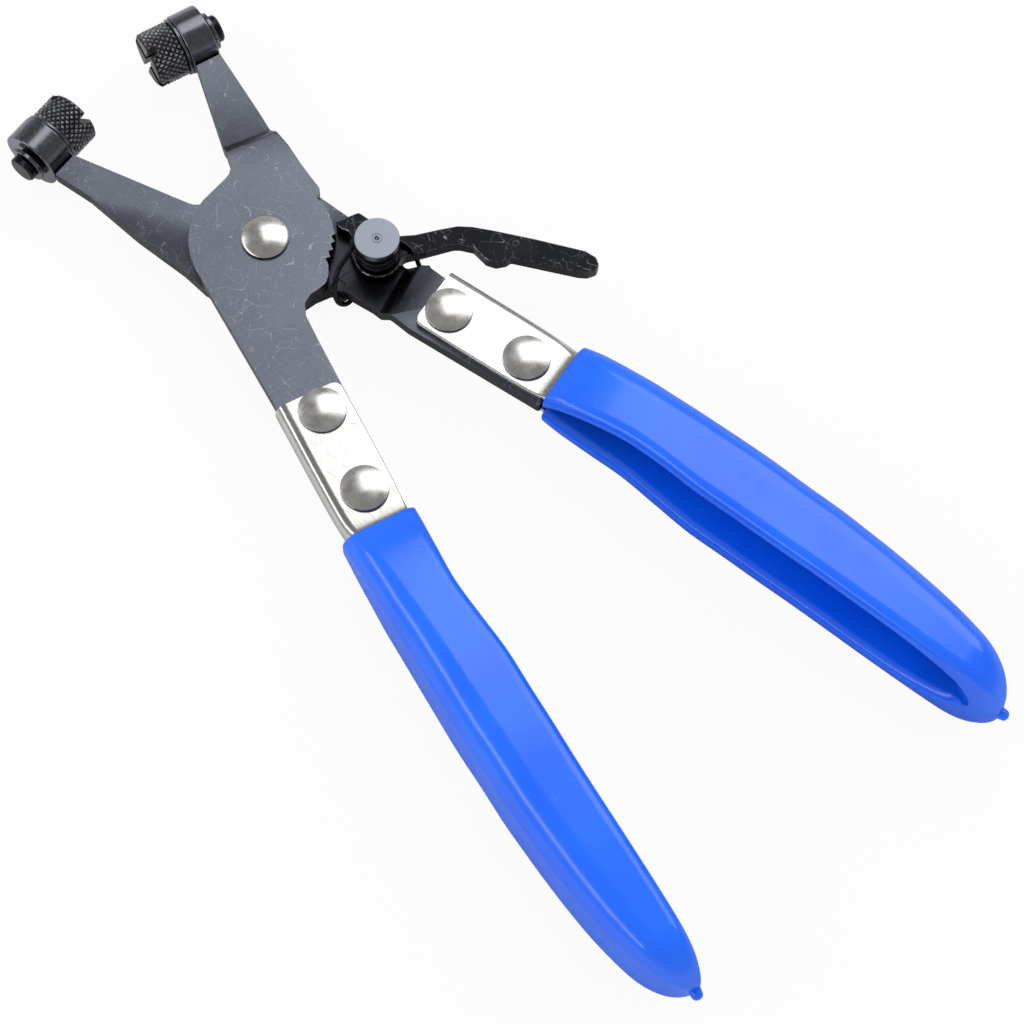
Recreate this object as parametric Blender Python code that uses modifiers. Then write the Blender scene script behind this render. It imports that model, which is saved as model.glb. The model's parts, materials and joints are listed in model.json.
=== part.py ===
# Hose clamp pliers with swivelling knurled tips and a ratchet pawl.
# Units are metres, +Z is up, and the pliers lie flat with their jaws towards +Y.
#
# Each half is described in its own frame: the main pivot is the origin, -Y runs from the pivot to
# the first handle rivet, and +X points to the other handle. The back half is the mirror image.

import math

import bmesh
import bpy
from mathutils import Matrix, Vector

# Driving dimensions: the two plates
PLATE_THICKNESS = 0.0030
CLEARANCE = 0.0003
DISC_RADIUS = 0.0152
OPEN_HALF_ANGLE = math.radians(23.85)
EDGE_CHAMFER = 0.00025

# The jaw arm, from the pivot to the collar that holds the tip
ARM_REACH = 0.0516
ARM_SIDE = -0.0010
ARM_LEAN = math.radians(13.0)
ARM_TIP_WIDTH = 0.0056
ARM_WAIST_INNER = -0.0021
ARM_JOGGLE_REACH = 0.0244
ARM_JOGGLE_LEAN = math.radians(7.5)
ARM_JOGGLE_LENGTH = 0.0034
HANDLE_JOGGLE_LENGTH = 0.0032
HANDLE_JOGGLE_LEAN = math.radians(3)

# The handle: rivets, pressed steel channel and dipped grip
RIVET_REACH = 0.0402
RIVET_PITCH = 0.0183
HANDLE_LEAN = math.radians(9.6)
HANDLE_LENGTH = 0.1295
CHANNEL_LEAD = 0.0045
SHEET_THICKNESS = 0.0013
BEND_RADIUS = 0.0010
GRIP_START = 0.0262
GRIP_THICKNESS = 0.0015
END_ROUNDING = 0.0335
NUB_RADIUS = 0.0012
HANDLE_WIDTH = 0.0138
HANDLE_DEPTH = 0.0216

# The pivot and its rivets
PIVOT_RADIUS = 0.0031
PIVOT_HEAD_RADIUS = 0.0048
PIVOT_DOME = 0.0016
HANDLE_RIVET_RADIUS = 0.0024
HANDLE_RIVET_HEAD_RADIUS = 0.0047
HANDLE_RIVET_DOME = 0.0013
RUNNING_FIT = 0.0001

# The ratchet
TOOTH_COUNT = 4
TOOTH_PITCH = math.radians(7.5)
FIRST_TOOTH_ANGLE = math.radians(-13.0)
TOOTH_INSET = 0.0012
TOOTH_HEIGHT = 0.0009
LOBE_INSET = 0.0015
LOBE_END_ANGLE = math.radians(19)
PIN_SIDE_SHARE = -0.3816
PIN_BEYOND = 0.0068
PIN_RADIUS = 0.0025
PIN_SHOULDER_RADIUS = 0.0033
PIN_HEAD_RADIUS = 0.00465
PIN_HEAD_THICKNESS = 0.0016
PIN_TAIL_RADIUS = 0.0034
PIN_TAIL_THICKNESS = 0.0011
PIN_SHOULDER_LENGTH = 0.00555
PAWL_HUB_RADIUS = 0.0047
PAWL_SIZE = 0.0152

# The torsion spring
WIRE_RADIUS = 0.00055
COIL_RADIUS = 0.0043
COIL_PITCH = 0.00166
COIL_START_ANGLE = math.radians(90)
COIL_END_ANGLE = math.radians(925)
COIL_POINTS = 10
STUD_SIDE = 0.0073
STUD_RISE = 0.0048
STUD_SHANK_RADIUS = 0.0008
STUD_RADIUS = 0.00155
STUD_LENGTH = 0.0018

# The swivelling tips
COLLAR_RADIUS = 0.0064
COLLAR_LENGTH = 0.0060
TIP_RADIUS = 0.0060
TIP_LENGTH = 0.0067
TIP_CHAMFER = 0.0005
SHANK_RADIUS = 0.0029
GROOVE_RADIUS = 0.0021
SLOT_WIDTH = 0.0018
SLOT_DEPTH = 0.0019
WASHER_RADIUS = 0.0062
WASHER_THICKNESS = 0.0006
WASHER_GAP = 0.00015
CLIP_RADIUS = 0.0040
CLIP_THICKNESS = 0.0008
STUB_LENGTH = 0.0030
FRONT_TIP_TURN = math.radians(58.0)
BACK_TIP_TURN = math.radians(48.0)

# Facets
ROUND_STEPS = 32
SMALL_STEPS = 24
DOME_STEPS = 3
ARC_STEPS = 3
NUB_STEPS = 12
MERGE = 0.00001
OVERRUN = 0.0040

# The share of the handle that stays bare in front of the grip
BARE_SHARE = 0.2023
# Stations of the handle: share of its length, then the lip's offset, the plan width and the depth
# as shares of the handle's width and depth, and the inner bend as a share of its first radius
LIP_SHARES = ((-0.035, 0.420), (0.10, 0.420), (0.17, 0.405), (0.224, 0.362), (0.29, 0.330), (0.347, 0.322),
              (0.413, 0.385), (0.475, 0.460), (0.540, 0.495), (0.602, 0.532), (0.668, 0.565),
              (0.730, 0.604), (0.795, 0.648), (0.857, 0.688), (0.923, 0.722), (1.00, 0.732))
WIDTH_SHARES = ((-0.035, 1.00), (0.10, 0.995), (0.17, 0.965), (0.224, 0.880), (0.347, 0.800), (0.413, 0.826),
                (0.475, 0.872), (0.540, 0.877), (0.602, 0.862), (0.668, 0.848), (0.730, 0.815),
                (0.795, 0.787), (1.00, 0.787))
DEPTH_SHARES = ((-0.035, 0.287), (0.15, 0.287), (0.195, 0.300), (0.232, 0.530), (0.286, 0.722),
                (0.347, 0.852), (0.41, 0.950), (0.47, 0.993), (0.50, 1.000), (0.53, 1.000), (0.74, 1.000),
                (0.79, 1.000), (1.00, 0.940))
BEND_SHARES = ((-0.035, 1.00), (0.20, 1.05), (0.32, 2.10), (0.48, 3.00), (0.70, 3.20), (1.00, 3.20))
BARE_STATION_SHARES = (-0.028, -0.015, 0.08, 0.14)
GRIP_STATION_SHARES = (0.215, 0.235, 0.26, 0.29, 0.325, 0.37, 0.42, 0.475, 0.54, 0.61, 0.68)
END_ANGLES = tuple(math.radians(a) for a in (20, 36, 50, 62, 72, 80, 86))

# Outline points in the half frame, as shares of the disc radius: the front plate's edge from the handle
# round the crotch to the ratchet teeth, then from the running lobe up the jaw arm
FRONT_CROTCH_SHARES = ((0.250, -1.678), (0.191, -1.250), (0.224, -1.072), (0.336, -0.961),
                       (0.428, -0.934), (0.572, -0.868), (0.638, -0.757), (0.678, -0.605))
FRONT_ARM_SHARES = ((0.808, 0.368), (0.888, 0.493), (0.763, 0.901), (0.678, 1.243), (0.539, 1.625),
                    (0.461, 1.993))
# The back plate's edge on the same side, where it meets its disc and along its arm
BACK_CROTCH_SHARES = ((0.368, -0.947),)
BACK_ARM_SHARES = ((0.914, 0.434), (0.776, 0.822), (0.586, 1.605), (0.316, 2.447))

# Outline points that go with the pawl's pin, as shares of the pawl's size, and the pin's place among them:
# the back plate's edge beside the spring's stud, and the waist on its outer side beside the lever
PIN_DRAWN_SHARES = (-0.3816, -1.4474)
STUD_EDGE_SHARES = ((0.224, -1.651), (0.171, -1.224), (0.237, -1.053))
WAIST_SHARES = ((-0.651, -1.592), (-0.474, -1.770), (-0.461, -1.961), (-0.526, -2.079))
# The pawl: nose, outer edge, lever end, thumb bump and inner edge; then the nose's inner side
PAWL_SHARES = ((-0.576, -0.751), (-0.609, -0.734), (-0.697, -0.803), (-0.862, -0.941), (-0.829, -1.092),
               (-0.789, -1.349), (-0.770, -1.572), (-0.875, -1.757), (-1.072, -2.000), (-1.224, -2.204),
               (-1.296, -2.382), (-1.362, -2.651), (-1.480, -3.230), (-1.592, -3.875), (-1.566, -4.039),
               (-1.480, -4.118), (-1.401, -4.118), (-1.309, -4.026), (-1.270, -3.921), (-1.092, -3.033),
               (-1.026, -3.000), (-0.941, -2.888), (-0.928, -2.750), (-0.987, -2.612), (-1.020, -2.533),
               (-0.987, -2.355), (-0.947, -2.270), (-0.645, -1.928), (-0.526, -1.783))
PAWL_NECK_SHARES = ((-0.296, -1.086), (-0.355, -1.036), (-0.454, -1.013), (-0.513, -0.993),
                    (-0.553, -0.941), (-0.546, -0.849))
# The spring's two legs after the coil; the third share is the height between the leg's hook and the coil
TOP_LEG_SHARES = ((-0.283, -1.164, 1.00), (-0.178, -1.168, 0.98), (-0.079, -1.145, 0.913),
                  (0.020, -1.118, 0.840), (0.112, -1.105, 0.766), (0.191, -1.112, 0.659),
                  (0.237, -1.118, 0.521), (0.257, -1.125, 0.357), (0.263, -1.138, 0.192),
                  (0.257, -1.178, 0.061), (0.217, -1.243, 0.004), (0.145, -1.283, 0),
                  (0.066, -1.276, 0), (0.013, -1.243, 0))
LOW_LEG_SHARES = ((-0.658, -1.658, 1.00), (-0.651, -1.737, 1.00), (-0.618, -1.822, 1.00),
                  (-0.572, -1.888, 0.98), (-0.546, -1.934, 0.786), (-0.539, -1.961, 0.469),
                  (-0.539, -1.993, 0.190), (-0.566, -2.039, 0.040), (-0.625, -2.066, 0.020))

# The drip nub's outline from its top to its foot, as shares of its radius
NUB_SHARES = ((0, 1.9), (0.55, 1.75), (0.92, 1.3), (1.0, 0.75), (1.2, 0.3), (1.7, -0.25), (0, -0.4))
# A joggle's rise against its length: two flat runs joined by a slope with eased ends
JOGGLE_SHARES = ((0, 0), (0.16, 0.07), (0.84, 0.93), (1, 1))

# Shares of the channel's width, depth and wall for its first corners, closed end and lip groove
START_CORNER_SHARE = 0.11
END_DEPTH_SHARE = 0.42
END_FULLNESS = 0.8
GROOVE_SHARE = 0.04
# The arm's neck above the disc, and how far the plate's tang stops short of the grip
NECK_SHARE = 1.08
NECK_ANGLE = math.radians(128)
TANG_MARGIN = 0.0007
# How far each plate stands out of its channel on the open side
FRONT_TANG_PROUD = 0.0004
BACK_TANG_PROUD = 0.0011

LAYER = PLATE_THICKNESS + CLEARANCE
FRONT_FLOOR = CLEARANCE / 2
BACK_FLOOR = FRONT_FLOOR - LAYER
HANDLE_MID = FRONT_FLOOR + PLATE_THICKNESS / 2
HEAD_MID = BACK_FLOOR + PLATE_THICKNESS / 2
FRONT_TOP = FRONT_FLOOR + PLATE_THICKNESS
TOOTH_TIP_RADIUS = DISC_RADIUS - TOOTH_INSET
LOBE_RADIUS = DISC_RADIUS - LOBE_INSET
PIN_SHOULDER_FLOOR = FRONT_TOP + CLEARANCE
PIN_HEAD_TOP = PIN_SHOULDER_FLOOR + PIN_SHOULDER_LENGTH + PIN_HEAD_THICKNESS
COIL_BOTTOM = PIN_SHOULDER_FLOOR + WIRE_RADIUS
COIL_TOP = COIL_BOTTOM + COIL_PITCH * (COIL_END_ANGLE - COIL_START_ANGLE) / math.tau

STEEL_BLACK = (0.045, 0.048, 0.055)
TIP_BLACK = (0.030, 0.032, 0.036)
NICKEL = (0.72, 0.70, 0.67)
PIN_GREY = (0.20, 0.23, 0.27)
WIRE_BLACK = (0.028, 0.029, 0.031)
GRIP_BLUE = (0.003, 0.105, 1.0)


def clear_scene():
    for old in list(bpy.data.objects):
        bpy.data.objects.remove(old, do_unlink=True)


def make_collection(name):
    made = bpy.data.collections.new(name)
    bpy.context.scene.collection.children.link(made)
    return made


clear_scene()
PARTS = make_collection("hose_clamp_pliers")
CUTTERS = make_collection("cutters")


def make_material(name, colour, metallic, roughness):
    made = bpy.data.materials.new(name)
    made.use_nodes = True
    shader = made.node_tree.nodes["Principled BSDF"]
    shader.inputs["Base Color"].default_value = (*colour, 1.0)
    shader.inputs["Metallic"].default_value = metallic
    shader.inputs["Roughness"].default_value = roughness
    return made


def finish(thing, parent, material, smooth_angle=math.radians(32)):
    """Link a piece, give it its parent and material, and shade its round faces smooth."""
    if thing.name not in PARTS.objects:
        PARTS.objects.link(thing)
    thing.parent = parent
    thing.data.materials.clear()
    thing.data.materials.append(material)
    if thing.type == "MESH":
        thing.data.shade_smooth()
        thing.data.set_sharp_from_angle(angle=smooth_angle)
    return thing


def make_empty(name, parent=None, matrix=None):
    made = bpy.data.objects.new(name, None)
    made.empty_display_size = DISC_RADIUS / 2
    PARTS.objects.link(made)
    made.parent = parent
    if matrix is not None:
        made.matrix_local = matrix
    return made


def arc(centre, radius, start, end, steps):
    """Points along an arc, both ends included."""
    angles = [start + (end - start) * i / steps for i in range(steps + 1)]
    return [(centre[0] + radius * math.cos(a), centre[1] + radius * math.sin(a)) for a in angles]


def scaled(shares, corner_share=0.0):
    """Outline corners from shares of the disc radius, all with one corner radius."""
    return [(x * DISC_RADIUS, y * DISC_RADIUS, corner_share * DISC_RADIUS) for x, y in shares]


def rounded(corners):
    """A closed outline whose corners (x, y, radius) are rounded where they have a radius."""
    points = []
    count = len(corners)
    for index, (x, y, radius) in enumerate(corners):
        here = Vector((x, y))
        back = (Vector(corners[index - 1][:2]) - here)
        ahead = (Vector(corners[(index + 1) % count][:2]) - here)
        turn = back.angle(ahead, math.pi)
        if radius == 0 or math.pi - turn < math.radians(3):
            points.append((x, y))
            continue
        cut = radius / math.tan(turn / 2)
        limit = min(back.length, ahead.length) * 0.49
        if cut > limit:
            radius *= limit / cut
            cut = limit
        first = here + back.normalized() * cut
        last = here + ahead.normalized() * cut
        centre = here + (back.normalized() + ahead.normalized()).normalized() * (radius / math.sin(turn / 2))
        start = math.atan2(*(first - centre).yx)
        sweep = math.atan2(*(last - centre).yx) - start
        sweep = (sweep + math.pi) % math.tau - math.pi
        steps = max(2, round(abs(sweep) / math.radians(18)))
        points += arc(centre, radius, start, start + sweep, steps)
    return points


def circle(centre, radius, steps):
    return arc(centre, radius, 0, math.tau * (steps - 1) / steps, steps - 1)


def flip(points, side):
    """Mirror half-frame points for the back half, whose side is -1."""
    return [(x * side, y) for x, y in points]


def plate_mesh(name, outline, holes, floor, thickness):
    """A flat plate with holes, from a filled 2D curve."""
    curve = bpy.data.curves.new(name, "CURVE")
    curve.dimensions = "2D"
    curve.fill_mode = "BOTH"
    curve.extrude = thickness / 2
    for loop in [outline, *holes]:
        spline = curve.splines.new("POLY")
        spline.points.add(len(loop) - 1)
        for point, (x, y) in zip(spline.points, loop):
            point.co = (x, y, 0, 1)
        spline.use_cyclic_u = True
    guide = bpy.data.objects.new(name + "_outline", curve)
    PARTS.objects.link(guide)
    bpy.context.view_layer.update()
    evaluated = guide.evaluated_get(bpy.context.evaluated_depsgraph_get())
    mesh = bpy.data.meshes.new_from_object(evaluated)
    bpy.data.objects.remove(guide, do_unlink=True)
    work = bmesh.new()
    work.from_mesh(mesh)
    bmesh.ops.remove_doubles(work, verts=work.verts, dist=MERGE)
    bmesh.ops.dissolve_limit(work, angle_limit=math.radians(1), verts=work.verts, edges=work.edges)
    bmesh.ops.translate(work, vec=(0, 0, floor + thickness / 2), verts=work.verts)
    bmesh.ops.recalc_face_normals(work, faces=work.faces)
    work.to_mesh(mesh)
    work.free()
    mesh.name = name
    return mesh


def joggle(mesh, start, length, lean, rise, side):
    """Step a plate by rise where its distance along the leaning axis passes start to start + length."""
    axis = Vector((-math.sin(lean) * side, math.cos(lean), 0))
    sign = 1 if length > 0 else -1
    work = bmesh.new()
    work.from_mesh(mesh)
    for share, _ in JOGGLE_SHARES:
        place = axis * (start + length * share)
        everything = list(work.verts) + list(work.edges) + list(work.faces)
        bmesh.ops.bisect_plane(work, geom=everything, dist=MERGE, plane_co=place, plane_no=axis)
    for vert in work.verts:
        share = min(max(sign * (vert.co.dot(axis) - start) / abs(length), 0), 1)
        after = next(i for i in range(1, len(JOGGLE_SHARES)) if share <= JOGGLE_SHARES[i][0])
        (low, low_rise), (high, high_rise) = JOGGLE_SHARES[after - 1:after + 1]
        vert.co.z += rise * (low_rise + (high_rise - low_rise) * (share - low) / (high - low))
    bmesh.ops.recalc_face_normals(work, faces=work.faces)
    work.to_mesh(mesh)
    work.free()


def add_chamfer(thing, width):
    bevel = thing.modifiers.new("chamfer", "BEVEL")
    bevel.width = width
    bevel.segments = 1
    bevel.limit_method = "ANGLE"
    bevel.angle_limit = math.radians(50)
    bevel.use_clamp_overlap = True


def turned(name, profile, steps):
    """A solid turned about local Z; the profile runs down its outer side, top to bottom."""
    mesh = bpy.data.meshes.new(name)
    work = bmesh.new()
    verts = [work.verts.new((radius, 0, height)) for radius, height in profile]
    closed = profile[0][0] > 0
    for index in range(len(verts) - (0 if closed else 1)):
        work.edges.new((verts[index], verts[(index + 1) % len(verts)]))
    work.to_mesh(mesh)
    work.free()
    made = bpy.data.objects.new(name, mesh)
    PARTS.objects.link(made)
    screw = made.modifiers.new("turn", "SCREW")
    screw.angle = math.tau
    screw.steps = steps
    screw.render_steps = steps
    screw.use_merge_vertices = True
    screw.merge_threshold = MERGE
    screw.use_smooth_shade = True
    return made


def baked(thing):
    """Replace a piece's modifiers by their result, so its sharp edges can be marked."""
    bpy.context.view_layer.update()
    evaluated = thing.evaluated_get(bpy.context.evaluated_depsgraph_get())
    mesh = bpy.data.meshes.new_from_object(evaluated)
    work = bmesh.new()
    work.from_mesh(mesh)
    bmesh.ops.remove_doubles(work, verts=work.verts, dist=MERGE / 10)
    bmesh.ops.recalc_face_normals(work, faces=work.faces)
    work.to_mesh(mesh)
    work.free()
    thing.modifiers.clear()
    thing.data = mesh
    return thing


def cut_with(thing, cutter, operation="DIFFERENCE"):
    for old in list(cutter.users_collection):
        old.objects.unlink(cutter)
    CUTTERS.objects.link(cutter)
    cutter.hide_render = True
    cutter.display_type = "WIRE"
    boolean = thing.modifiers.new(cutter.name, "BOOLEAN")
    boolean.operation = operation
    boolean.solver = "EXACT"
    boolean.object = cutter


def cylinder_cutter(name, radius, half_length, place, parent):
    mesh = bpy.data.meshes.new(name)
    work = bmesh.new()
    bmesh.ops.create_cone(work, cap_ends=True, segments=SMALL_STEPS, radius1=radius, radius2=radius,
                          depth=half_length * 2)
    work.to_mesh(mesh)
    work.free()
    made = bpy.data.objects.new(name, mesh)
    made.parent = parent
    made.location = place
    return made


def box_cutter(name, size, place, turn, parent):
    mesh = bpy.data.meshes.new(name)
    work = bmesh.new()
    bmesh.ops.create_cube(work, size=1)
    bmesh.ops.scale(work, vec=size, verts=work.verts)
    work.to_mesh(mesh)
    work.free()
    made = bpy.data.objects.new(name, mesh)
    made.parent = parent
    made.location = place
    made.rotation_euler = (0, 0, turn)
    return made


def loft(work, rings):
    """Join rings of equal point counts with quads; returns the first and last rings' vertices."""
    loops = [[work.verts.new(point) for point in ring] for ring in rings]
    for lower, upper in zip(loops, loops[1:]):
        for index in range(len(lower)):
            after = (index + 1) % len(lower)
            work.faces.new((lower[index], lower[after], upper[after], upper[index]))
    return loops[0], loops[-1]


def interpolate(table, share):
    """Smooth value from a table of (share, value) pairs, flat past its ends."""
    if share <= table[0][0]:
        return table[0][1]
    if share >= table[-1][0]:
        return table[-1][1]
    index = next(i for i in range(len(table) - 1) if share <= table[i + 1][0])

    def slope(i):
        low = table[max(i - 1, 0)]
        high = table[min(i + 1, len(table) - 1)]
        return (high[1] - low[1]) / (high[0] - low[0])

    (x0, y0), (x1, y1) = table[index], table[index + 1]
    span = x1 - x0
    t = (share - x0) / span
    first = y0 * (1 + 2 * t) * (1 - t) ** 2 + span * slope(index) * t * (1 - t) ** 2
    return first + y1 * t * t * (3 - 2 * t) - span * slope(index + 1) * t * t * (1 - t)


# Places in the half frame

ARM_AXIS = Vector((-math.sin(ARM_LEAN), math.cos(ARM_LEAN)))
TIP_AXIS = Vector((-math.cos(ARM_LEAN), -math.sin(ARM_LEAN)))
HEAD = Vector((ARM_SIDE, ARM_REACH))
PIN = Vector((DISC_RADIUS * PIN_SIDE_SHARE, -DISC_RADIUS - PIN_BEYOND))
STUD = PIN + Vector((STUD_SIDE, STUD_RISE))


def about_pin(shares, corner_share=0.0):
    """Outline corners from shares of the pawl's size, placed by the pin that they are drawn with."""
    places = [PIN + (Vector(share) - Vector(PIN_DRAWN_SHARES)) * PAWL_SIZE for share in shares]
    return [(place.x, place.y, corner_share * PAWL_SIZE) for place in places]


def handle_point(along, across):
    """Half-frame place of a point given along the handle from its first rivet, and across it."""
    lean_sin, lean_cos = math.sin(HANDLE_LEAN), math.cos(HANDLE_LEAN)
    return (across * lean_cos + along * lean_sin, -RIVET_REACH + across * lean_sin - along * lean_cos)


def handle_share(along):
    """Share of the handle at a distance along it: the bare part and the gripped part each run evenly."""
    if along <= GRIP_START:
        return BARE_SHARE * along / GRIP_START
    return BARE_SHARE + (1 - BARE_SHARE) * (along - GRIP_START) / (HANDLE_LENGTH - GRIP_START)


def handle_place(share):
    """Distance along the handle for a share of it, the other way round."""
    if share <= BARE_SHARE:
        return GRIP_START * share / BARE_SHARE
    return GRIP_START + (HANDLE_LENGTH - GRIP_START) * (share - BARE_SHARE) / (1 - BARE_SHARE)


def lip_line(along):
    """Offset of the channel's open edges from the rivet line."""
    return interpolate(LIP_SHARES, handle_share(along)) * HANDLE_WIDTH


def start_corner(along):
    """How far the open edges draw back at the channel's rounded first corners."""
    corner = HANDLE_WIDTH * START_CORNER_SHARE
    short = max(corner - along - CHANNEL_LEAD, 0)
    return corner - math.sqrt(max(corner ** 2 - short ** 2, 0))


def end_shrink(along, offset):
    """Share of the full plan width that is left at a station on the rounded end."""
    past = max(along - HANDLE_LENGTH + END_ROUNDING, 0) / (END_ROUNDING + offset)
    return math.sqrt(max(1 - past * past, 0))


def plan_width(along, offset):
    """Width in plan of the handle, grown by an offset and rounded off at its end."""
    width = interpolate(WIDTH_SHARES, handle_share(along)) * HANDLE_WIDTH + offset
    return width * end_shrink(along, offset)


def half_depth(along, offset):
    """Half the depth of the handle, grown by an offset and rounded off at its end."""
    end_length = HANDLE_DEPTH * END_DEPTH_SHARE
    depth = interpolate(DEPTH_SHARES, handle_share(along)) * HANDLE_DEPTH / 2 + offset
    past = max(along - HANDLE_LENGTH + end_length, 0) / (end_length + offset)
    return depth * math.sqrt(max(1 - past * past, 0.0)) ** END_FULLNESS


def channel_ring(along, offset, lip_radius, side):
    """One section of the U-shaped sheet, with every surface moved out by an offset."""
    wall = SHEET_THICKNESS + 2 * offset
    line = lip_line(along)
    lip = line + offset - start_corner(along)
    outer_half = half_depth(along, offset)
    outer_web = line - plan_width(along, offset)
    bend = interpolate(BEND_SHARES, handle_share(along)) * BEND_RADIUS
    outer_bend = min(bend + SHEET_THICKNESS + offset, (lip - outer_web) / 2.2, outer_half / 1.2)
    inner_half = max(outer_half - wall, wall * GROOVE_SHARE)
    shrink = end_shrink(along, -SHEET_THICKNESS - offset)
    inner_web = line + offset * (1 - shrink) - plan_width(along, -SHEET_THICKNESS - offset)
    inner_web = min(inner_web, lip - wall * GROOVE_SHARE)
    inner_bend = min(max(bend - offset, wall * GROOVE_SHARE), (lip - inner_web) * 0.9, inner_half * 0.9)
    edge = min(lip_radius, (outer_half - inner_half) / 2.05, (lip - outer_web) / 3)
    edge_inner = min(edge, (lip - inner_web) * 0.45)
    quarter = math.pi / 2
    top = arc((outer_web + outer_bend, outer_half - outer_bend), outer_bend, quarter, 2 * quarter, ARC_STEPS)
    under = arc((outer_web + outer_bend, outer_bend - outer_half), outer_bend, 2 * quarter, 3 * quarter,
                ARC_STEPS)
    low_lip = arc((lip - edge, edge - outer_half), edge, 3 * quarter, 4 * quarter, 2)
    low_lip += arc((lip - edge_inner, -inner_half - edge_inner), edge_inner, 0, quarter, 2)
    floor = arc((inner_web + inner_bend, inner_bend - inner_half), inner_bend, 3 * quarter, 2 * quarter,
                ARC_STEPS)
    roof = arc((inner_web + inner_bend, inner_half - inner_bend), inner_bend, 2 * quarter, quarter, ARC_STEPS)
    high_lip = [(x, -z) for x, z in reversed(low_lip)]
    ring = top + under + low_lip + floor + roof + high_lip
    return [(x * side, -along, z) for x, z in ring]


def stations(offset):
    """Stations along the gripped part: even ones by share, then closer ones round the end."""
    rounding_start = HANDLE_LENGTH - END_ROUNDING
    even = [handle_place(share) for share in GRIP_STATION_SHARES]
    return [GRIP_START, *even] + [rounding_start + (END_ROUNDING + offset) * math.sin(a) for a in END_ANGLES]


def build_channel(name, parent, side, material):
    bare = [handle_place(share) for share in BARE_STATION_SHARES]
    places = [-CHANNEL_LEAD, *bare, *stations(0)]
    work = bmesh.new()
    lip_radius = SHEET_THICKNESS * 0.25
    first, last = loft(work, [channel_ring(along, 0, lip_radius, side) for along in places])
    work.faces.new(first)
    work.faces.new(last)
    bmesh.ops.recalc_face_normals(work, faces=work.faces)
    mesh = bpy.data.meshes.new(name)
    work.to_mesh(mesh)
    work.free()
    made = bpy.data.objects.new(name, mesh)
    PARTS.objects.link(made)
    made.parent = parent
    for index in range(2):
        place = (0, -RIVET_PITCH * index, 0)
        radius = HANDLE_RIVET_RADIUS + RUNNING_FIT
        cut_with(made, cylinder_cutter(f"{name}_hole_{index + 1}", radius, HANDLE_DEPTH, place, parent))
    return finish(baked(made), parent, material)


def build_grip(name, parent, side, material):
    """The dipped grip: an outer skin and a pocket that fits round the channel's steel."""
    lip_radius = SHEET_THICKNESS
    outer = [channel_ring(along, GRIP_THICKNESS, lip_radius * 2, side) for along in stations(GRIP_THICKNESS)]
    pocket = [channel_ring(along, CLEARANCE, lip_radius / 4, side) for along in stations(CLEARANCE)]
    work = bmesh.new()
    outer_first, outer_last = loft(work, outer)
    pocket_first, pocket_last = loft(work, pocket)
    for index in range(len(outer_first)):
        after = (index + 1) % len(outer_first)
        work.faces.new((outer_first[index], outer_first[after], pocket_first[after], pocket_first[index]))
    work.faces.new(outer_last)
    work.faces.new(pocket_last)
    bmesh.ops.recalc_face_normals(work, faces=work.faces)
    mesh = bpy.data.meshes.new(name)
    work.to_mesh(mesh)
    work.free()
    made = bpy.data.objects.new(name, mesh)
    PARTS.objects.link(made)
    made.parent = parent
    cut_with(made, drip_nub(name + "_nub", parent, side), "UNION")
    return finish(baked(made), parent, material, math.radians(50))


def drip_nub(name, parent, side):
    """The drop of plastic left at the tip of a dipped grip."""
    made = turned(name, [(NUB_RADIUS * x, NUB_RADIUS * y) for x, y in NUB_SHARES], NUB_STEPS)
    made.parent = parent
    place = HANDLE_LENGTH + CLEARANCE - NUB_RADIUS * NUB_SHARES[-1][1]
    made.location = (lip_line(HANDLE_LENGTH) * side, -place, 0)
    made.rotation_euler = (math.pi / 2, 0, 0)
    baked(made)
    return made


def arm_outline():
    """Corners of the jaw arm, from the tip's inner corner to its outer corner."""
    end = HEAD - ARM_AXIS * (COLLAR_RADIUS + CLEARANCE)
    inner = end + TIP_AXIS * ARM_TIP_WIDTH / 2
    outer = end - TIP_AXIS * ARM_TIP_WIDTH / 2
    return inner, outer


def tangent_angle(point, radius):
    """Angle on the disc where a line from a point below it touches its outer (-X) side."""
    distance = math.hypot(*point)
    return math.atan2(point[1], point[0]) % math.tau - math.acos(radius / distance)


def outer_side(entry):
    """The left side shared by both plates: arm, neck, disc and the straight run to the handle."""
    inner, _ = arm_outline()
    start = NECK_ANGLE
    end = tangent_angle(entry, DISC_RADIUS)
    disc = [(x, y, 0) for x, y in arc((0, 0), DISC_RADIUS, start, end, 12)]
    neck = (ARM_WAIST_INNER, DISC_RADIUS * NECK_SHARE, DISC_RADIUS * 0.22)
    return [(*inner, 0), neck, *disc]


def tang_side(along):
    """Offset of the tang's edge that lies inside the channel's web."""
    return lip_line(along) - plan_width(along, 0) + SHEET_THICKNESS + CLEARANCE * 2


def tang(start, proud):
    """The part of a plate that is riveted inside the channel and stands a little out of its open side."""
    end = GRIP_START - TANG_MARGIN
    lip_side = lip_line(0) + proud
    round_off = HANDLE_WIDTH * 0.12
    return [(*handle_point(start, tang_side(0)), round_off * 0.6),
            (*handle_point(end, tang_side(end)), round_off),
            (*handle_point(end, lip_line(end) + proud), round_off * 0.3),
            (*handle_point(start, lip_side), round_off * 0.5)]


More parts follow.
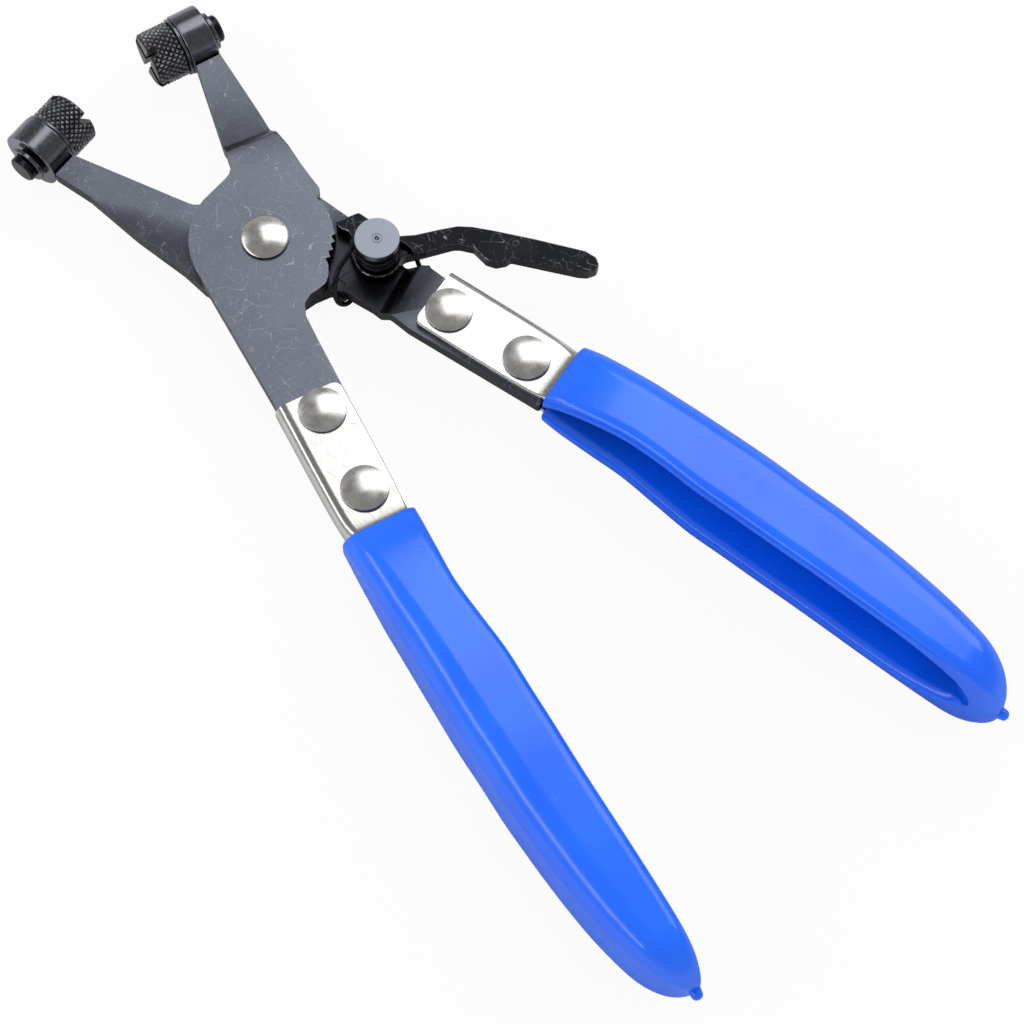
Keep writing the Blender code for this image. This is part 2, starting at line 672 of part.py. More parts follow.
def ratchet_side():
    """The front plate's edge that faces the pawl: teeth, then the smooth running lobe."""
    points = []
    for index in reversed(range(TOOTH_COUNT)):
        tip_angle = FIRST_TOOTH_ANGLE - TOOTH_PITCH * index
        root_angle = tip_angle - TOOTH_PITCH * 0.34
        tip = TOOTH_TIP_RADIUS - TOOTH_HEIGHT * 0.12 * index
        root = tip - TOOTH_HEIGHT
        points.append((root * math.cos(root_angle), root * math.sin(root_angle), TOOTH_HEIGHT * 0.3))
        points.append((tip * math.cos(tip_angle), tip * math.sin(tip_angle), TOOTH_HEIGHT * 0.15))
    lobe_start = FIRST_TOOTH_ANGLE + TOOTH_PITCH * 0.6
    lobe = arc((0, 0), LOBE_RADIUS, lobe_start, LOBE_END_ANGLE, 6)
    return points + [(x, y, 0) for x, y in lobe]


def build_front_plate(parent, material):
    entry = handle_point(-CHANNEL_LEAD - CLEARANCE, tang_side(0) - SHEET_THICKNESS)
    _, outer = arm_outline()
    corners = outer_side(entry) + [(*entry, 0)]
    corners += tang(-CHANNEL_LEAD - CLEARANCE, FRONT_TANG_PROUD)
    corners += scaled(FRONT_CROTCH_SHARES, 0.08) + ratchet_side() + scaled(FRONT_ARM_SHARES, 0.03)
    corners.append((*outer, 0))
    holes = [circle((0, 0), PIVOT_RADIUS + RUNNING_FIT, ROUND_STEPS)]
    for index in range(2):
        centre = handle_point(RIVET_PITCH * index, 0)
        holes.append(circle(centre, HANDLE_RIVET_RADIUS + RUNNING_FIT, SMALL_STEPS))
    mesh = plate_mesh("front_plate", rounded(corners), holes, FRONT_FLOOR, PLATE_THICKNESS)
    joggle(mesh, ARM_JOGGLE_REACH - ARM_JOGGLE_LENGTH, ARM_JOGGLE_LENGTH, ARM_JOGGLE_LEAN, -LAYER, 1)
    made = bpy.data.objects.new("front_plate", mesh)
    PARTS.objects.link(made)
    add_chamfer(made, EDGE_CHAMFER)
    return finish(baked(made), parent, material)


def build_back_plate(parent, material):
    waist = about_pin(WAIST_SHARES, 0.09)
    _, outer = arm_outline()
    inner_disc = [(x, y, 0) for x, y in arc((0, 0), DISC_RADIUS, math.radians(-66), math.radians(24), 12)]
    corners = outer_side(waist[0][:2]) + waist + tang(-CHANNEL_LEAD - CLEARANCE, BACK_TANG_PROUD)
    corners += about_pin(STUD_EDGE_SHARES, 0.10) + scaled(BACK_CROTCH_SHARES, 0.10)
    corners += inner_disc + scaled(BACK_ARM_SHARES, 0.05)
    corners.append((*outer, 0))
    holes = [circle((0, 0), PIVOT_RADIUS + RUNNING_FIT, ROUND_STEPS),
             circle((-PIN.x, PIN.y), PIN_RADIUS + RUNNING_FIT, SMALL_STEPS),
             circle((-STUD.x, STUD.y), STUD_SHANK_RADIUS + RUNNING_FIT, SMALL_STEPS)]
    for index in range(2):
        x, y = handle_point(RIVET_PITCH * index, 0)
        holes.append(circle((-x, y), HANDLE_RIVET_RADIUS + RUNNING_FIT, SMALL_STEPS))
    mesh = plate_mesh("back_plate", flip(rounded(corners), -1), holes, BACK_FLOOR, PLATE_THICKNESS)
    hub_end = PAWL_HUB_RADIUS + CLEARANCE - PIN.y
    joggle(mesh, -hub_end, -HANDLE_JOGGLE_LENGTH, HANDLE_JOGGLE_LEAN, LAYER, -1)
    made = bpy.data.objects.new("back_plate", mesh)
    PARTS.objects.link(made)
    add_chamfer(made, EDGE_CHAMFER)
    return finish(baked(made), parent, material)


def rivet_profile(shank, head, dome, half_length):
    """A rivet with a low domed head at each end."""
    seat = half_length + CLEARANCE
    rim = dome * 0.3
    upper = []
    for step in range(DOME_STEPS + 1):
        turn = math.pi / 2 * step / DOME_STEPS
        upper.append((head * math.sin(turn), seat + rim + (dome - rim) * math.cos(turn)))
    upper += [(head * 0.985, seat), (shank, seat)]
    lower = [(radius, -height) for radius, height in reversed(upper)]
    return upper + lower


def build_rivet(name, parent, place, radii, dome, half_length, material):
    shank, head = radii
    made = turned(name, rivet_profile(shank, head, dome, half_length), SMALL_STEPS)
    made.location = place
    return finish(baked(made), parent, material)


def build_pin(parent, material):
    """The pawl's shouldered pin: machined head above, peened tail under the back plate."""
    head_floor = PIN_HEAD_TOP - PIN_HEAD_THICKNESS
    edge = PIN_HEAD_THICKNESS * 0.16
    tail_top = BACK_FLOOR - CLEARANCE
    tail_floor = tail_top - PIN_TAIL_THICKNESS
    dimple = PIN_HEAD_RADIUS * 0.12
    profile = [(0, PIN_HEAD_TOP - dimple), (dimple, PIN_HEAD_TOP - dimple * 0.5), (dimple * 1.5, PIN_HEAD_TOP),
               (PIN_HEAD_RADIUS - edge, PIN_HEAD_TOP), (PIN_HEAD_RADIUS, PIN_HEAD_TOP - edge),
               (PIN_HEAD_RADIUS, head_floor + edge), (PIN_HEAD_RADIUS - edge, head_floor),
               (PIN_SHOULDER_RADIUS, head_floor), (PIN_SHOULDER_RADIUS, PIN_SHOULDER_FLOOR),
               (PIN_RADIUS, PIN_SHOULDER_FLOOR), (PIN_RADIUS, tail_top), (PIN_TAIL_RADIUS * 0.98, tail_top),
               (PIN_TAIL_RADIUS, tail_top - PIN_TAIL_THICKNESS * 0.4),
               (PIN_TAIL_RADIUS * 0.75, tail_floor + PIN_TAIL_THICKNESS * 0.1), (0, tail_floor)]
    return finish(baked(turned("pawl_pin", profile, SMALL_STEPS)), parent, material)


def build_stud(parent, material):
    """The stud under the back plate that the spring's upper leg hooks round."""
    top = BACK_FLOOR + PLATE_THICKNESS - CLEARANCE / 2
    seat = BACK_FLOOR - CLEARANCE
    floor = seat - STUD_LENGTH
    edge = STUD_RADIUS * 0.2
    profile = [(0, top), (STUD_SHANK_RADIUS, top), (STUD_SHANK_RADIUS, seat), (STUD_RADIUS, seat),
               (STUD_RADIUS, floor + edge), (STUD_RADIUS - edge, floor), (0, floor)]
    made = turned("spring_stud", profile, SMALL_STEPS)
    made.location = (-STUD.x, STUD.y, 0)
    return finish(baked(made), parent, material)


def build_pawl(parent, material):
    """The ratchet pawl: nose, hub and thumb lever in one plate, drawn about its pin."""
    first = Vector(about_pin(PAWL_SHARES)[-1][:2]) - PIN
    last = Vector(about_pin(PAWL_NECK_SHARES)[0][:2]) - PIN
    start = math.atan2(first.y, first.x)
    end = math.atan2(last.y, last.x)
    hub = arc(PIN, PAWL_HUB_RADIUS, start + math.radians(8), end - math.radians(25), 12)
    corners = about_pin(PAWL_SHARES, 0.05)
    corners[0] = (*corners[0][:2], 0)
    corners += [(x, y, 0) for x, y in hub] + about_pin(PAWL_NECK_SHARES, 0.04)
    local = [(PIN.x - x, y - PIN.y, radius) for x, y, radius in corners]
    holes = [circle((0, 0), PIN_RADIUS + RUNNING_FIT, SMALL_STEPS)]
    mesh = plate_mesh("ratchet_pawl", rounded(local), holes, FRONT_FLOOR, PLATE_THICKNESS)
    made = bpy.data.objects.new("ratchet_pawl", mesh)
    PARTS.objects.link(made)
    add_chamfer(made, EDGE_CHAMFER)
    return finish(baked(made), parent, material)


def spring_points():
    """Centre line of the spring about the pawl pin: top leg, coil, then lower leg."""
    def leg(shares, coil_end, hook):
        places = about_pin([(x, y) for x, y, _ in shares])
        heights = [hook + (coil_end - hook) * share for _, _, share in shares]
        return [(PIN.x - x, y - PIN.y, height) for (x, y, _), height in zip(places, heights)]

    sweep = COIL_END_ANGLE - COIL_START_ANGLE
    count = round(COIL_POINTS * sweep / math.tau)
    coil = []
    for step in range(count + 1):
        angle = COIL_START_ANGLE + sweep * step / count
        height = COIL_TOP + (COIL_BOTTOM - COIL_TOP) * step / count
        coil.append((-COIL_RADIUS * math.cos(angle), COIL_RADIUS * math.sin(angle), height))
    stud_hook = BACK_FLOOR - CLEARANCE - STUD_LENGTH / 2
    plate_hook = FRONT_FLOOR - CLEARANCE - WIRE_RADIUS
    top_leg = leg(TOP_LEG_SHARES, COIL_TOP, stud_hook)
    return list(reversed(top_leg)) + coil + leg(LOW_LEG_SHARES, COIL_BOTTOM, plate_hook)


def least_self_gap(points):
    """Least distance between the tube's surfaces where its centre line passes itself."""
    least = None
    apart = COIL_POINTS // 2
    for index in range(len(points) - 1):
        for other in range(index + apart, len(points) - 1):
            gap = segment_distance(points[index:index + 2], points[other:other + 2]) - 2 * WIRE_RADIUS
            least = gap if least is None else min(least, gap)
    return least


def segment_distance(one, two):
    """Least distance between two short straight pieces, tried at even steps along both."""
    best = None
    for i in range(9):
        here = Vector(one[0]).lerp(Vector(one[1]), i / 8)
        for j in range(9):
            there = Vector(two[0]).lerp(Vector(two[1]), j / 8)
            gap = (here - there).length
            best = gap if best is None else min(best, gap)
    return best


def build_spring(parent, material):
    points = spring_points()
    curve = bpy.data.curves.new("pawl_spring", "CURVE")
    curve.dimensions = "3D"
    curve.bevel_depth = WIRE_RADIUS
    curve.bevel_resolution = 1
    curve.use_fill_caps = True
    spline = curve.splines.new("POLY")
    spline.points.add(len(points) - 1)
    for point, place in zip(spline.points, points):
        point.co = (*place, 1)
    guide = bpy.data.objects.new("spring_path", curve)
    PARTS.objects.link(guide)
    bpy.context.view_layer.update()
    evaluated = guide.evaluated_get(bpy.context.evaluated_depsgraph_get())
    mesh = bpy.data.meshes.new_from_object(evaluated)
    bpy.data.objects.remove(guide, do_unlink=True)
    work = bmesh.new()
    work.from_mesh(mesh)
    bmesh.ops.remove_doubles(work, verts=work.verts, dist=MERGE)
    bmesh.ops.recalc_face_normals(work, faces=work.faces)
    work.to_mesh(mesh)
    work.free()
    made = bpy.data.objects.new("pawl_spring", mesh)
    print(f"pawl_spring least gap between turns {least_self_gap(points) * 1000:.2f} mm")
    return finish(made, parent, material, math.radians(60))


def head_frame(name, parent, side):
    """An empty at the centre of a collar, with local Z along the tip's axis towards the knurl."""
    axis = Vector((TIP_AXIS.x * side, TIP_AXIS.y, 0))
    arm = Vector((ARM_AXIS.x * side, ARM_AXIS.y, 0))
    turn = Matrix((arm, axis.cross(arm), axis)).transposed().to_4x4()
    place = Matrix.Translation((HEAD.x * side, HEAD.y, HEAD_MID))
    return make_empty(name, parent, place @ turn)


def build_collar(name, parent, material):
    half = COLLAR_LENGTH / 2
    bore = SHANK_RADIUS + RUNNING_FIT
    edge = COLLAR_LENGTH * 0.06
    profile = [(bore, half), (COLLAR_RADIUS - edge, half), (COLLAR_RADIUS, half - edge),
               (COLLAR_RADIUS, edge - half), (COLLAR_RADIUS - edge, -half), (bore, -half)]
    return finish(baked(turned(name, profile, ROUND_STEPS)), parent, material)


def build_washer(name, parent, material):
    floor = COLLAR_LENGTH / 2 + WASHER_GAP
    top = floor + WASHER_THICKNESS
    bore = SHANK_RADIUS + RUNNING_FIT
    profile = [(bore, top), (WASHER_RADIUS, top), (WASHER_RADIUS, floor), (bore, floor)]
    return finish(baked(turned(name, profile, ROUND_STEPS)), parent, material)


def clip_floor():
    return -COLLAR_LENGTH / 2 - CLIP_THICKNESS - CLEARANCE * 2


def build_tip(name, parent, turn, material):
    """The swivel tip: knurled head with crossed slots, shank through the collar, grooved stub."""
    floor = COLLAR_LENGTH / 2 + WASHER_THICKNESS + WASHER_GAP * 2
    top = floor + TIP_LENGTH
    groove_top = clip_floor() + CLIP_THICKNESS + CLEARANCE
    groove_floor = clip_floor() - CLEARANCE
    stub = -COLLAR_LENGTH / 2 - STUB_LENGTH
    edge = SHANK_RADIUS * 0.15
    profile = [(0, top), (TIP_RADIUS - TIP_CHAMFER, top), (TIP_RADIUS, top - TIP_CHAMFER),
               (TIP_RADIUS, floor + edge), (TIP_RADIUS - edge, floor), (SHANK_RADIUS, floor),
               (SHANK_RADIUS, groove_top), (GROOVE_RADIUS, groove_top), (GROOVE_RADIUS, groove_floor),
               (SHANK_RADIUS, groove_floor), (SHANK_RADIUS, stub + edge), (SHANK_RADIUS - edge, stub),
               (0, stub)]
    made = turned(name, profile, ROUND_STEPS)
    made.parent = parent
    for index in range(2):
        size = (TIP_RADIUS * 2 + OVERRUN, SLOT_WIDTH, SLOT_DEPTH + OVERRUN)
        place = (0, 0, top - SLOT_DEPTH + size[2] / 2)
        cut_with(made, box_cutter(f"{name}_slot_{index + 1}", size, place, turn + math.pi / 2 * index, parent))
    return finish(baked(made), parent, material)


def build_clip(name, parent, material):
    """The E-shaped retaining clip: open on one side, with three prongs in the stub's groove."""
    prong = GROOVE_RADIUS + RUNNING_FIT
    recess = CLIP_RADIUS * 0.70
    mouth = math.radians(26)
    corners = [(x, y, 0) for x, y in arc((0, 0), CLIP_RADIUS, mouth, math.tau - mouth, 26)]
    for middle, half in ((300, 22), (180, 26), (60, 22)):
        start = math.radians(middle + half)
        end = math.radians(middle - half)
        corners += [(x, y, 0) for x, y in arc((0, 0), prong, start, end, 5)]
        if middle != 60:
            lower = math.radians(middle - half - 8)
            upper = math.radians(middle - 120 + half + 8) if middle == 300 else math.radians(90)
            corners += [(x, y, 0) for x, y in arc((0, 0), recess, lower, upper, 4)]
    mesh = plate_mesh(name, rounded(corners), [], clip_floor(), CLIP_THICKNESS)
    made = bpy.data.objects.new(name, mesh)
    return finish(made, parent, material)


def build_handle(prefix, parent, side, steel, plastic):
    """Channel, grip and the two rivets that hold the channel on its plate."""
    place = Matrix.Translation((0, -RIVET_REACH, HANDLE_MID))
    lean = Matrix.Rotation(HANDLE_LEAN * side, 4, "Z")
    frame = make_empty(prefix + "_handle", parent, place @ lean)
    build_channel(prefix + "_channel", frame, side, steel)
    build_grip(prefix + "_grip", frame, side, plastic)
    half = HANDLE_DEPTH * DEPTH_SHARES[0][1] / 2
    radii = (HANDLE_RIVET_RADIUS, HANDLE_RIVET_HEAD_RADIUS)
    for index in range(2):
        spot = (0, -RIVET_PITCH * index, 0)
        build_rivet(f"{prefix}_rivet_{index + 1}", frame, spot, radii, HANDLE_RIVET_DOME, half, steel)


def build_head(prefix, parent, side, turn, black, dark):
    frame = head_frame(prefix + "_head", parent, side)
    build_collar(prefix + "_collar", frame, dark)
    swivel = make_empty(prefix + "_swivel", frame)
    build_tip(prefix + "_tip", swivel, turn, black)
    build_washer(prefix + "_tip_washer", swivel, black)
    build_clip(prefix + "_tip_clip", swivel, dark)


def build_all():
    plate_steel = make_material("blackened_steel", STEEL_BLACK, 0.85, 0.38)
    tip_steel = make_material("blackened_tip_steel", TIP_BLACK, 0.80, 0.42)
    nickel = make_material("nickel_plate", NICKEL, 1.0, 0.24)
    pin_steel = make_material("machined_steel", PIN_GREY, 0.95, 0.26)
    wire = make_material("spring_wire", WIRE_BLACK, 0.80, 0.35)
    plastic = make_material("blue_grip", GRIP_BLUE, 0.0, 0.22)

    root = make_empty("hose_clamp_pliers_root")
    front = make_empty("front_half", root, Matrix.Rotation(-OPEN_HALF_ANGLE, 4, "Z"))
    back = make_empty("back_half", root, Matrix.Rotation(OPEN_HALF_ANGLE, 4, "Z"))
    pawl = make_empty("pawl_axis", back, Matrix.Translation((-PIN.x, PIN.y, 0)))

    build_front_plate(front, plate_steel)
    build_back_plate(back, plate_steel)
    radii = (PIVOT_RADIUS, PIVOT_HEAD_RADIUS)
    build_rivet("main_pivot_rivet", back, (0, 0, 0), radii, PIVOT_DOME, LAYER - CLEARANCE / 2, nickel)
    build_handle("front", front, 1, nickel, plastic)
    build_handle("back", back, -1, nickel, plastic)
    build_head("front", front, 1, FRONT_TIP_TURN, tip_steel, plate_steel)
    build_head("back", back, -1, BACK_TIP_TURN, tip_steel, plate_steel)
    build_pawl(pawl, plate_steel)
    build_pin(pawl, pin_steel)
    build_spring(pawl, wire)
    build_stud(back, plate_steel)
    place_root(root, [front, back, pawl])


def place_root(root, frames):
    """Put the middle of the pliers' footprint at the origin, with their lowest point on Z = 0."""
    bpy.context.view_layer.update()
    corners = []
    for thing in PARTS.objects:
        if thing.type == "MESH":
            corners += [thing.matrix_world @ vert.co for vert in thing.data.vertices]
    low = Vector([min(corner[axis] for corner in corners) for axis in range(3)])
    high = Vector([max(corner[axis] for corner in corners) for axis in range(3)])
    middle = (low + high) / 2
    root.location = (-middle.x, -middle.y, -low.z)
    bpy.context.view_layer.update()
    print("size in metres", [round(value, 5) for value in high - low])
    for frame in [thing for thing in PARTS.objects if thing.type == "EMPTY"]:
        place = frame.matrix_world.translation
        axis = frame.matrix_world.to_3x3() @ Vector((0, 0, 1))
        print(frame.name, [round(value, 6) for value in place], [round(value, 6) for value in axis])


build_all()
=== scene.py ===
import json
import math

import bmesh
import bpy
from mathutils import Matrix, Vector


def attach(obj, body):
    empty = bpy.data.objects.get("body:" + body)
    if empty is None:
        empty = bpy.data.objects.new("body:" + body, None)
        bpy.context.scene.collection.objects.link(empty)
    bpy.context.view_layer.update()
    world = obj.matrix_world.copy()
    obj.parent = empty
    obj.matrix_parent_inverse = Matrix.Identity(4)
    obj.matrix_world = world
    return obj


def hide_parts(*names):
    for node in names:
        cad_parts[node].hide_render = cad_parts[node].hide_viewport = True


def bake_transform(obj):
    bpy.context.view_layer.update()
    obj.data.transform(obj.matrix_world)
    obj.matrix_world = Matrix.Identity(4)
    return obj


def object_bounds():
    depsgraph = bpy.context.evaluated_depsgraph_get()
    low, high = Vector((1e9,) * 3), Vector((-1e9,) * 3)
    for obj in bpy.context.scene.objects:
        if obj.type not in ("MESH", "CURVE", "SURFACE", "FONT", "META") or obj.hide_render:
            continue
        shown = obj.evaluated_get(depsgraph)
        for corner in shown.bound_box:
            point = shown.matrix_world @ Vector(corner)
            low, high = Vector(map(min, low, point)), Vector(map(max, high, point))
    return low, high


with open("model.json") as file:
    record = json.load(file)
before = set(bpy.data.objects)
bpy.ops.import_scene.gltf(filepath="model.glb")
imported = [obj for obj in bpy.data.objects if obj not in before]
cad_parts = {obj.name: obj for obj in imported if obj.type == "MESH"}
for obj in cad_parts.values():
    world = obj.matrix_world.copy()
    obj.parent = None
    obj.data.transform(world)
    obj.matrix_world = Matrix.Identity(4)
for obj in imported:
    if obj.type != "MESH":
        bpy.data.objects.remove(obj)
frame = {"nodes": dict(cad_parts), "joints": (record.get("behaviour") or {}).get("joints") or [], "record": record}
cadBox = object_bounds()
cadNodes = frame["nodes"]
bodies = frame["record"]["behaviour"]["bodies"]
bodyOf = {node: body for body, members in bodies.items() for node in members}
joints = {joint["name"]: joint for joint in frame["joints"]}
mm = 0.001
pivot = Vector(joints["handle_pivot"]["pos_m"])  # the main rivet, half way between the two plates
pawlPin = Vector(joints["pawl_pivot"]["pos_m"])
openAngle = math.radians(23.85)  # each half stands this far from the middle line
halfTurn = Matrix.Rotation(openAngle, 4, "Z")  # turns the back half's own frame to its open place
print("frame loaded,", len(cadNodes), "nodes")


# nodes and colours

# linear value of an sRGB hex colour
def linear(hexColour):
    channels = [int(hexColour[i:i + 2], 16) / 255 for i in (1, 3, 5)]
    return [c / 12.92 if c <= 0.04045 else ((c + 0.055) / 1.055) ** 2.4 for c in channels] + [1.0]


def newMaterial(name, colour, metallic, roughness):
    material = bpy.data.materials.new(name)
    material.use_nodes = True
    shader = material.node_tree.nodes["Principled BSDF"]
    shader.inputs["Base Color"].default_value = linear(colour)
    shader.inputs["Metallic"].default_value = metallic
    shader.inputs["Roughness"].default_value = roughness
    return material, shader


# one node with its settings, its input values and its links, given as input: (node, output)
def addNode(material, kind, settings=None, values=None, links=None):
    node = material.node_tree.nodes.new(kind)
    for key, value in (settings or {}).items():
        setattr(node, key, value)
    for key, value in (values or {}).items():
        node.inputs[key].default_value = value
    for key, (source, output) in (links or {}).items():
        material.node_tree.links.new(source.outputs[output], node.inputs[key])
    return node


def link(material, source, output, target, socket):
    material.node_tree.links.new(source.outputs[output], target.inputs[socket])


# a colour ramp fed by one output; stops are (position, hex colour)
def ramp(material, source, output, stops):
    node = addNode(material, "ShaderNodeValToRGB", links={"Fac": (source, output)})
    elements = node.color_ramp.elements
    while len(elements) < len(stops):
        elements.new(0.5)
    for element, (place, colour) in zip(elements, stops):
        element.position = place
        element.color = linear(colour)
    return node


def mapping(material, turn=(0, 0, 0), stretch=(1, 1, 1), shift=(0, 0, 0)):
    place = addNode(material, "ShaderNodeTexCoord")
    return addNode(material, "ShaderNodeMapping", links={"Vector": (place, "Object")},
                   values={"Rotation": turn, "Scale": stretch, "Location": shift})


def noise(material, source, sizeMm, detail=3.0, roughness=0.55, distortion=0.0):
    return addNode(material, "ShaderNodeTexNoise",
                   values={"Scale": 1 / (sizeMm * mm), "Detail": detail, "Roughness": roughness,
                           "Distortion": distortion}, links={"Vector": (source, "Vector")})


# fill one socket with a number or a hex colour, or link it when the value is (node, output)
def feed(material, node, socket, value):
    if isinstance(value, tuple):
        link(material, value[0], value[1], node, socket)
    else:
        node.inputs[socket].default_value = linear(value) if isinstance(value, str) else value


def mixColours(material, factor, first, second):
    node = addNode(material, "ShaderNodeMix", {"data_type": "RGBA"})
    for socket, value in ((0, factor), (6, first), (7, second)):  # the factor and the two colours of this node
        feed(material, node, socket, value)
    return node


# ABSOLUTE leaves the second value unread
def maths(material, operation, first, second=0.5):
    node = addNode(material, "ShaderNodeMath", {"operation": operation})
    feed(material, node, 0, first)
    feed(material, node, 1, second)
    return node


def between(material, source, output, lowIn, highIn, lowOut, highOut):
    return addNode(material, "ShaderNodeMapRange", None,
                   {"From Min": lowIn, "From Max": highIn, "To Min": lowOut, "To Max": highOut},
                   {"Value": (source, output)})


def bump(material, shader, source, output, depthMm, strength):
    node = addNode(material, "ShaderNodeBump", values={"Strength": strength, "Distance": depthMm * mm},
                   links={"Height": (source, output)})
    link(material, node, "Normal", shader, "Normal")


# thin curved scratches: the lines where a slow noise passes its middle value, broken up by another
def hairlines(material, sizeMm, width, seed, turn, kept):
    place = mapping(material, turn=(0.3, 0.2, turn), shift=(seed, seed * 0.7, 0.1))
    slow = noise(material, place, sizeMm, detail=0.5, roughness=0.3, distortion=0.4)
    away = maths(material, "ABSOLUTE", (maths(material, "SUBTRACT", (slow, "Fac"), 0.5), "Value"))
    line = maths(material, "LESS_THAN", (away, "Value"), width)
    gaps = noise(material, place, sizeMm * 0.7, detail=2.0)
    shown = maths(material, "GREATER_THAN", (gaps, "Fac"), kept)
    return maths(material, "MULTIPLY", (line, "Value"), (shown, "Value"))


# several hairlines together, each (size in mm, width), with a place and a turn of its own
def scratches(material, sizes, kept):
    every = None
    for index, (size, width) in enumerate(sizes):
        line = hairlines(material, size, width, 3.1 * index + 1.7, 1.1 * index, kept)
        every = line if every is None else maths(material, "MAXIMUM", (every, "Value"), (line, "Value"))
    return every


# materials

plateColours = ("#6B6F7B", "#767B87", "#818693", "#51545D")  # low, middle and high tone, and the pits
pawlColours = ("#18191B", "#1D1E21", "#26272A", "#131416")
plateScratches = ((5.0, 0.0030), (8.0, 0.0020), (3.2, 0.0045), (11.0, 0.0016), (6.3, 0.0026), (4.1, 0.0035))
pinShadeReach = (11.0, 19.0)  # mm from the pin between which the painted shade under the pin and pawl fades out


# Sheared sheet steel, black oxide finish, tumbled: satin charcoal top, hair-fine pale scratches and flecks,
# near-black cut sides as painted shade, the oxide worn to grey along the corner, and, when asked for, painted
# shade round the pin.
def blackOxideSteel(name, colours, roughness, scratched, shadedNearPin=False):
    low, middle, high, pit = colours
    material, shader = newMaterial(name, middle, 1.0, roughness)
    place = mapping(material)
    cloud = noise(material, place, 11.0, detail=5.0)
    tone = ramp(material, cloud, "Fac", ((0.30, low), (0.52, middle), (0.74, high)))
    grain = noise(material, place, 0.30, detail=2.0)
    speck = mixColours(material, (between(material, grain, "Fac", 0.42, 0.75, 0.0, 0.55), "Result"),
                       (tone, "Color"), pit)
    lines = scratches(material, plateScratches, 0.52)
    wornAndPinShaded = mixColours(material, (maths(material, "MULTIPLY", (lines, "Value"), scratched), "Value"),
                      (speck, 2), "#C6C8CE")
    flecks = between(material, noise(material, place, 0.40, detail=1.0), "Fac", 0.75, 0.79, 0.0, scratched)
    wornAndPinShaded = mixColours(material, (flecks, "Result"), (wornAndPinShaded, 2), "#B9BBC2")
    if shadedNearPin:
        # painted shade: the back plate is darkened to near black round the pawl pin, where the pin, spring and
        # pawl shade it
        centred = mapping(material, shift=(-pawlPin.x, -pawlPin.y, 0), stretch=(1, 1, 0))
        reach = addNode(material, "ShaderNodeVectorMath", {"operation": "LENGTH"},
                        links={0: (centred, "Vector")})
        near, far = pinShadeReach
        pinShade = between(material, reach, "Value", near * mm, far * mm, 0.86, 0.0)
        wornAndPinShaded = mixColours(material, (pinShade, "Result"), (wornAndPinShaded, 2), "#25262A")
    edge = addNode(material, "ShaderNodeAttribute", {"attribute_name": "edge"})
    # painted shade: the cut sides (edge 1) are painted near black #101114, standing for the dark surroundings they
    # reflect
    side = between(material, edge, "Fac", 0.6, 1.0, 0.0, 0.92)
    cut = mixColours(material, (side, "Result"), (wornAndPinShaded, 2), "#101114")
    corner = addNode(material, "ShaderNodeMath", {"operation": "COMPARE"}, {1: 0.5, 2: 0.2}, {0: (edge, "Fac")})
    patchy = between(material, grain, "Fac", 0.40, 0.62, 0.05, 0.55)
    rubbed = maths(material, "MULTIPLY", (corner, "Value"), (patchy, "Result"))
    shown = mixColours(material, (rubbed, "Value"), (cut, 2), "#A4A6AD")
    link(material, shown, 2, shader, "Base Color")
    rough = between(material, cloud, "Fac", 0.3, 0.7, roughness - 0.05, roughness + 0.05)
    link(material, rough, "Result", shader, "Roughness")
    height = maths(material, "SUBTRACT", (maths(material, "MULTIPLY", (grain, "Fac"), 0.5), "Value"),
                   (lines, "Value"))
    bump(material, shader, height, "Value", 0.010, 0.45)
    return material


# Bright zinc-plated pressed sheet: pale and slightly warm, nearly a mirror, with faint drawing lines and a few
# dull handling marks.
def zincPlatedSteel():
    material, shader = newMaterial("zincPlatedSteel", "#ECEAE6", 1.0, 0.22)
    place = mapping(material)
    along = mapping(material, turn=(0, 0, 0.25), stretch=(6.0, 0.6, 6.0))
    lines = noise(material, along, 1.6, detail=3.0)
    cloud = noise(material, place, 6.0, detail=5.0)
    tone = ramp(material, cloud, "Fac", ((0.28, "#D0CEC9"), (0.42, "#D8D6D2"), (0.70, "#DDDBD8")))
    marks = scratches(material, ((6.4, 0.003), (4.1, 0.003)), 0.54)
    dull = mixColours(material, (maths(material, "MULTIPLY", (marks, "Value"), 0.35), "Value"),
                      (tone, "Color"), "#A8A39B")
    link(material, dull, 2, shader, "Base Color")
    rough = between(material, lines, "Fac", 0.3, 0.7, 0.14, 0.28)
    link(material, rough, "Result", shader, "Roughness")
    bump(material, shader, lines, "Fac", 0.012, 0.3)
    return material


# Headed rivets, plated after forming: smooth low domes with a fine brushed grain, slightly duller and warmer
# than the sheet round them.
def platedRivetSteel():
    material, shader = newMaterial("platedRivetSteel", "#DEDBD6", 1.0, 0.26)
    place = mapping(material)
    cloud = noise(material, place, 2.4, detail=4.0)
    tone = ramp(material, cloud, "Fac", ((0.30, "#E2DFDB"), (0.50, "#EEECE9"), (0.72, "#F6F5F3")))
    marks = scratches(material, ((3.9, 0.004), (6.0, 0.003)), 0.52)
    dull = mixColours(material, (maths(material, "MULTIPLY", (marks, "Value"), 0.4), "Value"),
                      (tone, "Color"), "#8F8A82")
    link(material, dull, 2, shader, "Base Color")
    rough = between(material, cloud, "Fac", 0.3, 0.7, 0.20, 0.33)
    link(material, rough, "Result", shader, "Roughness")
    fine = noise(material, place, 0.5, detail=2.0)
    bump(material, shader, fine, "Fac", 0.008, 0.4)
    return material


